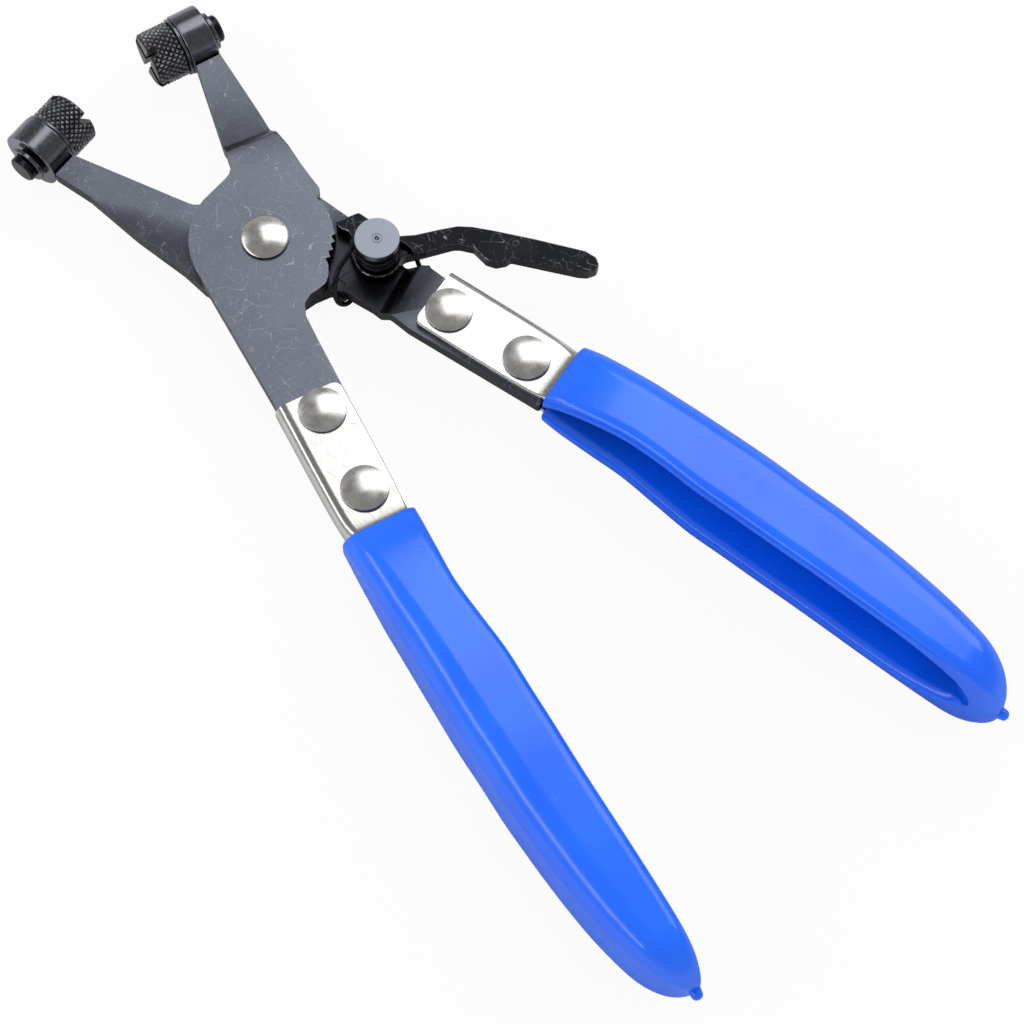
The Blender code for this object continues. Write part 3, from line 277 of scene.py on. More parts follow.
# Turned and blackened pin: blue-grey, with the rings that the lathe tool leaves on its face.
def turnedSteel():
    material, shader = newMaterial("turnedSteel", "#868B96", 1.0, 0.28)
    place = mapping(material, shift=tuple(-value for value in pawlPin))
    rings = addNode(material, "ShaderNodeTexWave",
                    {"wave_type": "RINGS", "rings_direction": "Z", "wave_profile": "SIN"},
                    {"Scale": 1 / (1.6 * mm), "Distortion": 0.4, "Detail": 1.0}, {"Vector": (place, "Vector")})
    tone = ramp(material, rings, "Fac", ((0.0, "#828792"), (0.5, "#878C97"), (1.0, "#8F949F")))
    link(material, tone, "Color", shader, "Base Color")
    bump(material, shader, rings, "Fac", 0.004, 0.3)
    return material


# Hard-drawn spring wire, oil-blackened: near black with a narrow sheen along each turn.
def oiledSpringWire():
    material, shader = newMaterial("oiledSpringWire", "#2A2B2E", 1.0, 0.28)
    place = mapping(material)
    cloud = noise(material, place, 1.2)
    tone = ramp(material, cloud, "Fac", ((0.3, "#222326"), (0.7, "#3A3B3F")))
    link(material, tone, "Color", shader, "Base Color")
    return material


# Blackened collars, washers and clips: dark charcoal, smoother than the plates, with a mottled grain.
def blackenedCollarSteel():
    material, shader = newMaterial("blackenedCollarSteel", "#5C5E66", 1.0, 0.24)
    place = mapping(material)
    grain = noise(material, place, 0.7, detail=4.0)
    tone = ramp(material, grain, "Fac", ((0.30, "#72747C"), (0.52, "#7C7E86"), (0.74, "#868890")))
    link(material, tone, "Color", shader, "Base Color")
    rough = between(material, grain, "Fac", 0.3, 0.7, 0.16, 0.24)
    link(material, rough, "Result", shader, "Roughness")
    return material


# Knurled and blackened tips: black in the cut grooves; the crests of the diamonds are painted bright grey, partly
# wear and partly a painted highlight for the light the flat crests catch.
def blackenedTipSteel():
    material, shader = newMaterial("blackenedTipSteel", "#2E3034", 1.0, 0.30)
    place = mapping(material)
    cloud = noise(material, place, 0.8, detail=4.0)
    tone = ramp(material, cloud, "Fac", ((0.30, "#232427"), (0.60, "#34363A"), (0.80, "#4B4E53")))
    wear = addNode(material, "ShaderNodeAttribute", {"attribute_name": "wear"})
    patchy = between(material, cloud, "Fac", 0.30, 0.65, 0.35, 0.95)
    rubbed = maths(material, "MULTIPLY", (wear, "Fac"), (patchy, "Result"))
    # painted highlight and wear: the crests are lightened to pale grey #C4C6CA, standing for the light they catch
    # as well as for wear
    shown = mixColours(material, (rubbed, "Value"), (tone, "Color"), "#C4C6CA")
    link(material, shown, 2, shader, "Base Color")
    bump(material, shader, cloud, "Fac", 0.015, 0.35)
    return material


# Hot-dipped soft PVC: bright blue and glossy, with the slow waviness of a coat that ran and set, and small
# pits and specks; painted shade deepens the blue in its hollow, and its sheen dies away on the flanks.
def dippedPvc():
    material, shader = newMaterial("dippedPvc", "#0469FF", 0.0, 0.26)
    view = addNode(material, "ShaderNodeLayerWeight", values={"Blend": 0.5})
    for socket, facing, flank in (("Coat Weight", 0.55, 0.05), ("Specular IOR Level", 0.5, 0.08)):
        link(material, between(material, view, "Facing", 0.30, 0.72, facing, flank), "Result", shader, socket)
    shader.inputs["Coat Roughness"].default_value = 0.10
    shader.inputs["IOR"].default_value = 1.50
    place = mapping(material)
    cloud = noise(material, place, 16.0, detail=2.0)
    tone = ramp(material, cloud, "Fac", ((0.35, "#0263FA"), (0.65, "#066CFF")))
    specks = noise(material, place, 0.9, detail=1.0)
    speckled = mixColours(material, (between(material, specks, "Fac", 0.76, 0.80, 0.0, 0.35), "Result"),
                          (tone, "Color"), "#4C8CFF")
    # painted shade: ambient occlusion darkens the base colour to deep blue #0047B0 in the hollow and other
    # recesses
    occlusionShade = addNode(material, "ShaderNodeAmbientOcclusion", {"samples": 8}, {"Distance": 14 * mm})
    shown = mixColours(material, (between(material, occlusionShade, "AO", 0.35, 0.95, 0.85, 0.0), "Result"),
                       (speckled, 2), "#0047B0")
    link(material, shown, 2, shader, "Base Color")
    slow = noise(material, place, 9.0, detail=1.0)
    peel = noise(material, place, 1.6, detail=2.0)
    height = maths(material, "ADD", (slow, "Fac"), (maths(material, "MULTIPLY", (peel, "Fac"), 0.06), "Value"))
    bump(material, shader, height, "Value", 0.30, 0.30)
    return material


finishes = {
    "plate": blackOxideSteel("blackOxideSteel", plateColours, 0.33, 0.42),
    "backPlate": blackOxideSteel("pinShadedOxideSteel", plateColours, 0.33, 0.42, shadedNearPin=True),
    "pawl": blackOxideSteel("oiledBlackSteel", pawlColours, 0.24, 0.20),
    "channel": zincPlatedSteel(),
    "rivet": platedRivetSteel(),
    "pin": turnedSteel(),
    "wire": oiledSpringWire(),
    "collar": blackenedCollarSteel(),
    "tip": blackenedTipSteel(),
    "grip": dippedPvc(),
}
print("materials ready")


# making pieces

# a bmesh of a CAD node with its loose triangles merged
def wholeCopy(node):
    bm = bmesh.new()
    bm.from_mesh(cadNodes[node].data)
    bmesh.ops.remove_doubles(bm, verts=bm.verts, dist=0.002 * mm)
    bmesh.ops.recalc_face_normals(bm, faces=bm.faces)
    bmesh.ops.join_triangles(bm, faces=bm.faces, angle_face_threshold=math.radians(1),
                             angle_shape_threshold=math.radians(60))
    return bm


# make the object inside the solids' box, stand it for its CAD node and let it ride on the node's body; flex is
# (other body, start, end), and only whether it is given is read: such a piece is baked in place and rides on no
# body
def finishPiece(name, bm, node, finish, smoothAngle=35, flex=None):
    for vert in bm.verts:
        vert.co = [min(max(value, low), high) for value, low, high in zip(vert.co, *cadBox)]
    bmesh.ops.recalc_face_normals(bm, faces=bm.faces)
    mesh = bpy.data.meshes.new(name)
    bm.to_mesh(mesh)
    bm.free()
    mesh.shade_smooth()
    mesh.set_sharp_from_angle(angle=math.radians(smoothAngle))
    piece = bpy.data.objects.new(name, mesh)
    bpy.context.scene.collection.objects.link(piece)
    mesh.materials.append(finishes[finish])
    if flex:
        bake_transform(piece)
    else:
        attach(piece, bodyOf[node])
    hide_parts(node)


# move a piece drawn about local Z to its place in the frame
def stand(bm, place, axis=(0, 0, 1), across=(1, 0, 0)):
    up = Vector(axis).normalized()
    side = Vector(across) - up * up.dot(Vector(across))
    side.normalize()
    turn = Matrix((side, up.cross(side), up)).transposed().to_4x4()
    bmesh.ops.transform(bm, matrix=Matrix.Translation(place) @ turn, verts=bm.verts)


# turn a closed profile of (radius, height) in mm about local Z
def lathe(profile, steps=96):
    bm = bmesh.new()
    verts = [bm.verts.new((radius * mm, 0, height * mm)) for radius, height in profile]
    edges = [bm.edges.new(pair) for pair in zip(verts, verts[1:])]
    if profile[0][0] > 0:
        edges.append(bm.edges.new((verts[-1], verts[0])))
    bmesh.ops.spin(bm, geom=verts + edges, cent=(0, 0, 0), axis=(0, 0, 1), angle=math.tau, steps=steps,
                   use_merge=True)
    bmesh.ops.remove_doubles(bm, verts=bm.verts, dist=0.0005 * mm)
    return bm


# corners (radius, height, fillet) of a profile, each fillet drawn as a short arc between two points on the
# flats, which keep the shading of the flats even
def filleted(corners):
    steps, lead = 4, 0.04
    points = []
    for index, (x, y, fillet) in enumerate(corners):
        here = Vector((x, y))
        if not fillet:
            points.append((x, y))
            continue
        back = (Vector(corners[index - 1][:2]) - here).normalized()
        ahead = (Vector(corners[(index + 1) % len(corners)][:2]) - here).normalized()
        half = back.angle(ahead) / 2
        reach = fillet / math.tan(half)
        middle = here + (back + ahead).normalized() * fillet / math.sin(half)
        first, last = -ahead, -back
        points.append(tuple(here + back * (reach + lead)))
        points += [tuple(middle + first.slerp(last, step / steps) * fillet) for step in range(steps + 1)]
        points.append(tuple(here + ahead * (reach + lead)))
    return points


# rings of points in mm, joined one to the next by bridging; the first and last are capped
def bridged(bm, rings, side=1):
    loops = []
    for ring in rings:
        verts = [bm.verts.new((x * side * mm, y * mm, z * mm)) for x, y, z in ring]
        loops.append([bm.edges.new((verts[i - 1], verts[i])) for i in range(len(verts))])
    for lower, upper in zip(loops, loops[1:]):
        bmesh.ops.bridge_loops(bm, edges=lower + upper)
    for loop in (loops[0], loops[-1]):
        bmesh.ops.edgeloop_fill(bm, edges=loop)


# plates and pawl: the CAD outline, with each face marked as flat (0), chamfer (0.5) or cut side (1)

cutEdges = {"sideTilt": 0.35, "chamferTilt": 0.93, "chamferWidth": 0.45}


def markEdges(bm):
    layer = bm.faces.layers.float.new("edge")
    for face in bm.faces:
        tilt = abs(face.normal.z)
        width = face.calc_area() / max(edge.calc_length() for edge in face.edges)
        if tilt < cutEdges["sideTilt"]:
            face[layer] = 1.0
        elif tilt < cutEdges["chamferTilt"] and width < cutEdges["chamferWidth"] * mm:
            face[layer] = 0.5


for node, name, finish in (("front_plate", "frontPlateSheet", "plate"),
                           ("back_plate", "backPlateSheet", "backPlate"),
                           ("ratchet_pawl", "ratchetPawlSheet", "pawl")):
    sheet = wholeCopy(node)
    markEdges(sheet)
    finishPiece(name, sheet, node, finish, smoothAngle=18)
print("plates made")


# rivets: low domes at both ends of a shank; seat and dome heights are from the middle of the stack

rivetSizes = {
    "pivot": {"shank": 3.1, "head": 4.8, "seat": 3.45, "rim": 0.45, "dome": 1.6},
    "handle": {"shank": 2.4, "head": 4.7, "seat": 3.4, "rim": 0.35, "dome": 1.3},
}
domeShape = {"power": 2.1, "steps": 14, "inset": 0.08, "rimBreak": 0.14, "footBreak": 0.10}


def rivet(sizes):
    head, seat, rim, dome = sizes["head"], sizes["seat"], sizes["rim"], sizes["dome"]
    foot = domeShape["footBreak"]
    upper = [(0, seat + dome)]
    for step in range(1, domeShape["steps"] + 1):
        share = step / domeShape["steps"]
        height = seat + rim + (dome - rim) * (1 - share ** domeShape["power"])
        upper.append(((head - domeShape["inset"]) * share, height))
    upper += [(head, seat + rim - domeShape["rimBreak"]), (head, seat + foot), (head - foot, seat),
              (sizes["shank"], seat)]
    return lathe(upper + [(radius, -height) for radius, height in reversed(upper)])


# handles: the same stations and sections as the solids, drawn finer; lengths in mm, and each table gives
# (share of the length, share of the width or depth, or times the bend)

handle = {"lean": math.radians(9.6), "length": 129.5, "width": 13.8, "depth": 21.6, "lead": 4.5, "sheet": 1.3,
          "bend": 1.0, "endRound": 33.5, "lipRound": 5.0, "deepRoundShare": 0.42, "cornerShare": 0.11,
          "rivetReach": 40.2, "rivetPitch": 18.3, "level": 1.65}
coating = {"start": 26.2, "coat": 1.5, "gap": 0.3, "roll": 0.5, "hollowRound": 24.0, "hollowEnd": 4.5,
           "seam": 0.008, "dripInset": 0.5, "dripSink": 0.05}
lipShares = ((-0.035, 0.420), (0.10, 0.420), (0.17, 0.405), (0.224, 0.362), (0.29, 0.330), (0.347, 0.322),
             (0.413, 0.385), (0.475, 0.460), (0.540, 0.495), (0.602, 0.532), (0.668, 0.565), (0.730, 0.604),
             (0.795, 0.648), (0.857, 0.688), (0.923, 0.722), (1.00, 0.732))
widthShares = ((-0.035, 1.00), (0.10, 0.995), (0.17, 0.965), (0.224, 0.880), (0.347, 0.800), (0.413, 0.826),
               (0.475, 0.872), (0.540, 0.877), (0.602, 0.862), (0.668, 0.848), (0.730, 0.815), (0.795, 0.787),
               (1.00, 0.787))
depthShares = ((-0.035, 0.287), (0.15, 0.287), (0.195, 0.300), (0.232, 0.530), (0.286, 0.722), (0.347, 0.852),
               (0.41, 0.950), (0.47, 0.993), (0.50, 1.000), (0.53, 1.000), (0.74, 1.000), (0.79, 1.000),
               (1.00, 0.940))
bendShares = ((-0.035, 1.00), (0.20, 1.05), (0.32, 2.10), (0.48, 3.00), (0.70, 3.20), (1.00, 3.20))


# the place of a handle on its half: its first rivet's axis, and then some way along the handle
def handlePlace(side, along):
    half = Matrix.Translation(pivot) @ Matrix.Rotation(-openAngle * side, 4, "Z")
    seat = Matrix.Translation((0, -handle["rivetReach"] * mm, handle["level"] * mm))
    lean = Matrix.Rotation(handle["lean"] * side, 4, "Z")
    return half @ seat @ lean @ Matrix.Translation((0, -along * mm, 0))


# smooth value between the entries of a table
def fromTable(table, share):
    if share <= table[0][0]:
        return table[0][1]
    if share >= table[-1][0]:
        return table[-1][1]
    index = next(i for i in range(len(table) - 1) if share <= table[i + 1][0])

    def slope(i):
        low, high = table[max(i - 1, 0)], table[min(i + 1, len(table) - 1)]
        return (high[1] - low[1]) / (high[0] - low[0])

    (x0, y0), (x1, y1) = table[index], table[index + 1]
    t = (share - x0) / (x1 - x0)
    return (y0 * (1 + 2 * t) * (1 - t) ** 2 + (x1 - x0) * slope(index) * t * (1 - t) ** 2
            + y1 * t * t * (3 - 2 * t) - (x1 - x0) * slope(index + 1) * t * t * (1 - t))


def lipLine(along):
    return fromTable(lipShares, along / handle["length"]) * handle["width"]


def startCorner(along):
    corner = handle["width"] * handle["cornerShare"]
    short = max(corner - along - handle["lead"], 0)
    return corner - math.sqrt(max(corner ** 2 - short ** 2, 0))


def endShrink(along, offset):
    past = max(along - handle["length"] + handle["endRound"], 0) / (handle["endRound"] + offset)
    return math.sqrt(max(1 - past * past, 0))


def planWidth(along, offset):
    width = fromTable(widthShares, along / handle["length"]) * handle["width"] + offset
    return width * endShrink(along, offset)


def halfDepth(along, offset):
    endLength = handle["depth"] * handle["deepRoundShare"]
    depth = fromTable(depthShares, along / handle["length"]) * handle["depth"] / 2 + offset
    past = max(along - handle["length"] + endLength, 0) / (endLength + offset)
    return depth * math.sqrt(max(1 - past * past, 0))


# points of an arc; before and after add a point straight ahead of it and past it, so that the flats shade flat
def arcPoints(x, z, radius, start, end, steps, before=0, after=0):
    angles = [start + (end - start) * step / steps for step in range(steps + 1)]
    points = [(x + radius * math.cos(a), z + radius * math.sin(a)) for a in angles]
    if before:
        points.insert(0, (points[0][0] + before * math.sin(start), points[0][1] - before * math.cos(start)))
    if after:
        points.append((points[-1][0] - after * math.sin(end), points[-1][1] + after * math.cos(end)))
    return points


# a section of the U-shaped sheet with every surface moved out by an offset, in the handle's own frame; the
# outer skin of the grip is the one whose offset is more than the sheet, and its hollow closes towards the end
# to a seam; the divisors and shares below keep neighbouring arcs from meeting
def sectionRing(along, offset, lipRadius, steps=8):
    skin = offset > handle["sheet"]
    wall = handle["sheet"] + 2 * offset
    line = lipLine(along)
    nearEnd = max(along - handle["length"] + handle["lipRound"], 0) / (handle["lipRound"] + offset)
    lip = line + offset * math.sqrt(max(1 - nearEnd * nearEnd, 0)) - startCorner(along)
    outerHalf = halfDepth(along, offset)
    outerWeb = line - planWidth(along, offset)
    bend = fromTable(bendShares, along / handle["length"]) * handle["bend"]
    outerBend = min(bend + handle["sheet"] + offset, (lip - outerWeb) / 2.2, outerHalf / 1.2)
    least = coating["seam"] if skin else wall * 0.04
    innerHalf = max(outerHalf - wall, least)
    shrink = endShrink(along, -handle["sheet"] - offset)
    innerWeb = line + offset * (1 - shrink) - planWidth(along, -handle["sheet"] - offset)
    innerWeb = min(innerWeb, lip - least)
    innerBend = min(max(bend - offset, wall * 0.04), (lip - innerWeb) * 0.9, innerHalf * 0.9)
    edge = min(lipRadius, (outerHalf - innerHalf) / 2.05, (lip - outerWeb) / 3)
    if skin:
        past = max(along - handle["length"] + coating["hollowRound"], 0)
        closed = past / (coating["hollowRound"] - coating["hollowEnd"])
        left = math.sqrt(max(1 - closed * closed, 0))
        innerHalf = max(innerHalf * left, least)
        innerWeb = lip - max((lip - innerWeb) * min(left * 1.6, 1), least)
        innerBend = min(innerBend, innerHalf * 0.9, (lip - innerWeb) * 0.9)
    innerEdge = min(edge, (lip - innerWeb) * 0.45)
    quarter = math.pi / 2
    flat, web = min((lip - outerWeb) * 0.05, 0.2), min((outerHalf - outerBend) * 0.3, 0.2)
    across, up = outerWeb + outerBend, outerHalf - outerBend
    top = arcPoints(across, up, outerBend, quarter, 2 * quarter, steps, flat, web)
    under = arcPoints(across, -up, outerBend, 2 * quarter, 3 * quarter, steps, web, flat)
    lowLip = arcPoints(lip - edge, edge - outerHalf, edge, 3 * quarter, 4 * quarter, 5, flat)
    lowLip += arcPoints(lip - innerEdge, -innerHalf - innerEdge, innerEdge, 0, quarter, 5)
    across, up = innerWeb + innerBend, innerHalf - innerBend
    floor = arcPoints(across, -up, innerBend, 3 * quarter, 2 * quarter, steps)
    roof = arcPoints(across, up, innerBend, 2 * quarter, quarter, steps)
    highLip = [(x, -z) for x, z in reversed(lowLip)]
    return [(x, -along, z) for x, z in top + under + lowLip + floor + roof + highLip]


def spaced(start, end, gap):
    count = max(1, round((end - start) / gap))
    return [start + (end - start) * i / count for i in range(count)]


# stations that lie closer together towards the rounded end
def endStations(offset, count, last=88.5):
    start = handle["length"] - handle["endRound"]
    angles = [math.radians(last * (1 - (1 - i / count) ** 1.5)) for i in range(count + 1)]
    return [start + (handle["endRound"] + offset) * math.sin(angle) for angle in angles]


def channel(side):
    bm = bmesh.new()
    roundOff = handle["endRound"]
    stations = spaced(-handle["lead"], -handle["lead"] + 1.6, 0.2)
    hidden = coating["start"] + 4  # from here on the sheet is well inside the grip
    stations += spaced(-handle["lead"] + 1.6, hidden, 1.4)
    stations += spaced(hidden, handle["length"] - roundOff, 5.0) + endStations(0, 12, 86)
    bridged(bm, [sectionRing(along, 0, handle["sheet"] * 0.25) for along in stations], side)
    return bm


# the drip at a grip's end: (radius, height) from its tip down into the skin
dripProfile = ((0, 1.60), (0.40, 1.54), (0.76, 1.36), (1.00, 1.08), (1.10, 0.74), (1.14, 0.36), (1.18, 0.0),
               (1.26, -0.4), (1.40, -0.9), (0, -1.4))


# the dipped grip: outer skin with a rolled front edge, a pocket round the steel, and the drip at its end
def grip(side):
    coat, start, gap, roll = (coating[key] for key in ("coat", "start", "gap", "roll"))
    roundOff, lip = handle["endRound"], handle["sheet"] * 2
    rings = [sectionRing(along, gap, handle["sheet"] / 4) for along in reversed(
        spaced(start + 0.01, handle["length"] - roundOff, 4.0) + endStations(gap, 10, 86))]
    for step in range(6):
        turn = math.pi / 2 * step / 5
        rings.append(sectionRing(start + roll * (1 - math.cos(turn)), coat - roll * (1 - math.sin(turn)), lip))
    closed = handle["length"] - coating["hollowEnd"]
    stations = endStations(coat, 36) + endStations(-coating["hollowEnd"], 24, 89.4)
    stations += [closed - 0.001, closed + 0.02]
    rings += [sectionRing(along, coat, lip) for along in
              spaced(start + roll + 0.4, handle["length"] - roundOff, 1.6) + sorted(stations)[1:]]
    bm = bmesh.new()
    bridged(bm, rings, side)
    drip = lathe(dripProfile, 32)
    across = (lipLine(handle["length"]) - coating["dripInset"]) * side
    reach = handle["length"] + coat - coating["dripSink"]
    bmesh.ops.transform(drip, matrix=Matrix.Translation((across * mm, -reach * mm, 0))
                        @ Matrix.Rotation(math.pi / 2, 4, "X"), verts=drip.verts)
    dripMesh = bpy.data.meshes.new("drip")
    drip.to_mesh(dripMesh)
    drip.free()
    bm.from_mesh(dripMesh)
    bpy.data.meshes.remove(dripMesh)
    return bm


for side, half in ((1, "front"), (-1, "back")):
    for maker, part, finish in ((channel, "channel", "channel"), (grip, "grip", "grip")):
        bm = maker(side)
        bmesh.ops.transform(bm, matrix=handlePlace(side, 0), verts=bm.verts)
        finishPiece(half + part.capitalize() + "Shell", bm, f"{half}_{part}", finish, smoothAngle=50)
    for index in (1, 2):
        bm = rivet(rivetSizes["handle"])
        bmesh.ops.transform(bm, matrix=handlePlace(side, handle["rivetPitch"] * (index - 1)), verts=bm.verts)
        finishPiece(f"{half}HandleRivet{index}", bm, f"{half}_rivet_{index}", "rivet")
pivotRivet = rivet(rivetSizes["pivot"])
stand(pivotRivet, pivot)
finishPiece("pivotRivet", pivotRivet, "main_pivot_rivet", "rivet")
print("handles and rivets made")


# pawl pin, its torsion spring and the stud that the spring hooks round; heights in mm above the pivot's level

pinSizes = {"head": 4.5, "headTop": 10.6, "headFloor": 9.0, "headRound": 0.16, "flat": 3.6, "shoulder": 3.3,
            "shoulderFloor": 3.45, "neckRound": 0.15, "shank": 2.5, "tail": 3.4, "tailTop": -3.45,
            "tailFloor": -4.55, "tailRound": 0.5}
# the lathe centre's hole and the ring round it: (radius, depth below the face)
pinCentre = ((0, 0.40), (0.22, 0.32), (0.42, 0.08), (0.52, 0), (0.90, 0), (0.98, 0.03), (1.06, 0))


def pin():
    s = pinSizes
    top = s["headTop"]
    face = [(radius, top - depth) for radius, depth in pinCentre]
    rim = filleted([(s["flat"], top, 0), (s["head"], top, s["headRound"]),
                    (s["head"], s["headFloor"], s["headRound"]), (s["shoulder"], s["headFloor"], s["neckRound"]),
                    (s["shoulder"], s["shoulderFloor"], 0), (s["shank"], s["shoulderFloor"], 0),
                    (s["shank"], s["tailTop"], 0), (s["tail"], s["tailTop"], 0),
                    (s["tail"], s["tailFloor"], s["tailRound"]), (0, s["tailFloor"], 0)])
    return lathe(face + rim)


springSizes = {"wire": 0.5, "coil": 3.95, "top": 7.85, "bottom": 4.0, "start": math.radians(90),
               "end": math.radians(925), "perTurn": 40, "legSteps": 5, "bendFrom": 4.6, "bendTo": 6.8}
# legs about the pin in the back half's own frame, from the coil outwards
topLeg = ((-1.5, 4.31, 7.85), (-3.09, 4.25, 7.61), (-4.6, 4.6, 6.79), (-6.1, 5.01, 5.9), (-7.5, 5.2, 5.0),
          (-8.7, 5.1, 3.69), (-9.4, 5.01, 2.01), (-9.71, 4.9, 0.01), (-9.8, 4.7, -2.01), (-9.71, 4.09, -3.61),
          (-9.1, 3.11, -4.3), (-8.0, 2.5, -4.35), (-6.8, 2.61, -4.35), (-6.0, 3.11, -4.35))
lowLeg = ((4.2, -3.2, 4.0), (4.09, -4.4, 4.0), (3.59, -5.69, 4.0), (2.89, -6.7, 3.91), (2.5, -7.4, 2.99),
          (2.39, -7.81, 1.5), (2.39, -8.29, 0.19), (2.8, -8.99, -0.51), (3.7, -9.4, -0.61))


# points between the given ones on a smooth curve through them
def smoothed(points, steps):
    vectors = [Vector(point) for point in points]
    out = []
    for index in range(len(vectors) - 1):
        a, b = vectors[max(index - 1, 0)], vectors[index]
        c, d = vectors[index + 1], vectors[min(index + 2, len(vectors) - 1)]
        for step in range(steps):
            t = step / steps
            out.append(0.5 * (2 * b + (c - a) * t + (2 * a - 5 * b + 4 * c - d) * t * t
                              + (3 * b - a - 3 * c + d) * t ** 3))
    return out + [vectors[-1]]


# a round tube along points in mm, its section carried along without twist; its rounded ends are rings with
# (shift in half radii, share of the radius)
def tube(path, radius, sides=16):
    ends = {0: ((-0.8, 0.6), (-0.45, 0.9), (0, 1)), len(path) - 1: ((0, 1), (0.45, 0.9), (0.8, 0.6))}
    rings = []
    side = None
    for index, here in enumerate(path):
        ahead = (path[min(index + 1, len(path) - 1)] - path[max(index - 1, 0)]).normalized()
        side = ahead.orthogonal() if side is None else side - ahead * side.dot(ahead)
        side.normalize()
        other = ahead.cross(side)
        turns = [math.tau * k / sides for k in range(sides)]
        ways = [side * math.cos(turn) + other * math.sin(turn) for turn in turns]
        for shift, share in ends.get(index, ((0, 1),)):
            middle = here + ahead * radius * shift * 0.5
            rings.append([middle + way * radius * share for way in ways])
    bm = bmesh.new()
    bridged(bm, rings)
    return bm


def spring():
    s = springSizes
    turns = (s["end"] - s["start"]) / math.tau
    count = round(turns * s["perTurn"])
    coil = []
    for step in range(count + 1):
        angle = s["start"] + (s["end"] - s["start"]) * step / count
        height = s["top"] + (s["bottom"] - s["top"]) * step / count
        coil.append(Vector((-s["coil"] * math.cos(angle), s["coil"] * math.sin(angle), height)))
    upper = smoothed([*reversed(topLeg), coil[0]], s["legSteps"])
    lower = smoothed([coil[-1], *lowLeg], s["legSteps"])
    bm = tube(upper[:-1] + coil + lower[1:], s["wire"])
    bmesh.ops.transform(bm, matrix=Matrix.Translation(pawlPin) @ halfTurn, verts=bm.verts)
    return bm


# the stud's place, across and along, is from the pivot in the back half's own frame
studSizes = {"shank": 0.8, "shankTop": -0.3, "seat": -3.45, "head": 1.55, "floor": -5.25, "round": 0.3,
             "across": -1.5, "along": -17.2}


def stud():
    s = studSizes
    profile = filleted([(0, s["shankTop"], 0), (s["shank"], s["shankTop"], 0), (s["shank"], s["seat"], 0),
                        (s["head"], s["seat"], 0), (s["head"], s["floor"], s["round"]), (0, s["floor"], 0)])
    return lathe(profile, 48)


turnedPin = pin()
stand(turnedPin, pawlPin)
finishPiece("pawlPinTurned", turnedPin, "pawl_pin", "pin", smoothAngle=18)
# two reaches below the pin where the low leg would bend with the pawl; finishPiece only bakes the spring in place
# and doesn't bend it
lowLegBend = [pawlPin + halfTurn @ Vector((0, -springSizes[key] * mm, 0)) for key in ("bendFrom", "bendTo")]
finishPiece("torsionSpring", spring(), "pawl_spring", "wire", smoothAngle=60, flex=("pawl", *lowLegBend))
turnedStud = stud()
stand(turnedStud, pivot + halfTurn @ Vector((studSizes["across"] * mm, studSizes["along"] * mm, 0)))
finishPiece("springStudTurned", turnedStud, "spring_stud", "wire", smoothAngle=18)
print("pin, spring and stud made")


# heads: collar, washer, swivel tip and clip, drawn along the tip's axis from the collar's middle, in mm

eyeSizes = {
    "collar": {"bore": 3.0, "outer": 6.4, "top": 3.0, "floor": -3.0, "round": 0.30},
    "washer": {"bore": 3.0, "outer": 6.2, "top": 3.75, "floor": 3.15, "round": 0.12},
}
tipSizes = {"radius": 6.0, "floor": 3.9, "top": 10.6, "chamfer": 0.5, "rimBreak": 0.25, "foot": 0.45,
            "shank": 2.9, "groove": 2.1, "grooveTop": -3.3, "grooveFloor": -4.7, "stub": -6.0,
            "stubBreak": 0.35, "slotWidth": 1.8, "slotDepth": 1.9}
knurl = {"columns": 56, "rows": 8, "depth": 0.42, "crest": 0.14, "highlightWearDepth": 0.22, "highlightWearSpan": 0.16}
clipSizes = {"outer": 4.0, "prong": 2.2, "recess": 2.8, "mouth": 26, "floor": -4.4, "thick": 0.8, "round": 0.10}
# prongs and recesses inside the clip, as arcs from one angle to another in degrees
clipArcs = (("prong", 322, 278), ("recess", 270, 210), ("prong", 206, 154), ("recess", 146, 90),
            ("prong", 82, 38))
tipTurns = {"front": 70.0, "back": 48.0}  # how far each crossed slot is turned, in degrees
armLine = (0.188238, 0.982123)  # direction of the front jaw arm, across and along


# a collar or a washer: a ring whose outer corners are rounded
def eye(kind):
    s = eyeSizes[kind]
    return lathe(filleted([(s["bore"], s["top"], 0), (s["outer"], s["top"], s["round"]),
                           (s["outer"], s["floor"], s["round"]), (s["bore"], s["floor"], 0)]))


# cut boxes out of a mesh
def carved(bm, cutters):
    mesh = bpy.data.meshes.new("work")
    bm.to_mesh(mesh)
    bm.free()
    work = bpy.data.objects.new("work", mesh)
    bpy.context.scene.collection.objects.link(work)
    tools = []
    for cutter in cutters:
        toolMesh = bpy.data.meshes.new("tool")
        cutter.to_mesh(toolMesh)
        cutter.free()
        tool = bpy.data.objects.new("tool", toolMesh)
        bpy.context.scene.collection.objects.link(tool)
        boolean = work.modifiers.new("cut", "BOOLEAN")
        boolean.solver = "EXACT"
        boolean.object = tool
        tools.append(tool)
    bpy.context.view_layer.update()
    result = bmesh.new()
    result.from_mesh(bpy.data.meshes.new_from_object(work.evaluated_get(bpy.context.evaluated_depsgraph_get())))
    for thing in [work, *tools]:
        bpy.data.objects.remove(thing, do_unlink=True)
    bmesh.ops.remove_doubles(result, verts=result.verts, dist=0.0005 * mm)
    return result


# a box right across the head, its middle on the head's face, so that half of its height cuts
def slotCutter(turn):
    s = tipSizes
    box = (s["radius"] * 2.5, s["slotWidth"], s["slotDepth"] * 2)
    bm = bmesh.new()
    bmesh.ops.create_cube(bm, size=1)
    bmesh.ops.scale(bm, vec=[size * mm for size in box], verts=bm.verts)
    bmesh.ops.transform(bm, matrix=Matrix.Translation((0, 0, s["top"] * mm)) @ Matrix.Rotation(turn, 4, "Z"),
                        verts=bm.verts)
    return bm


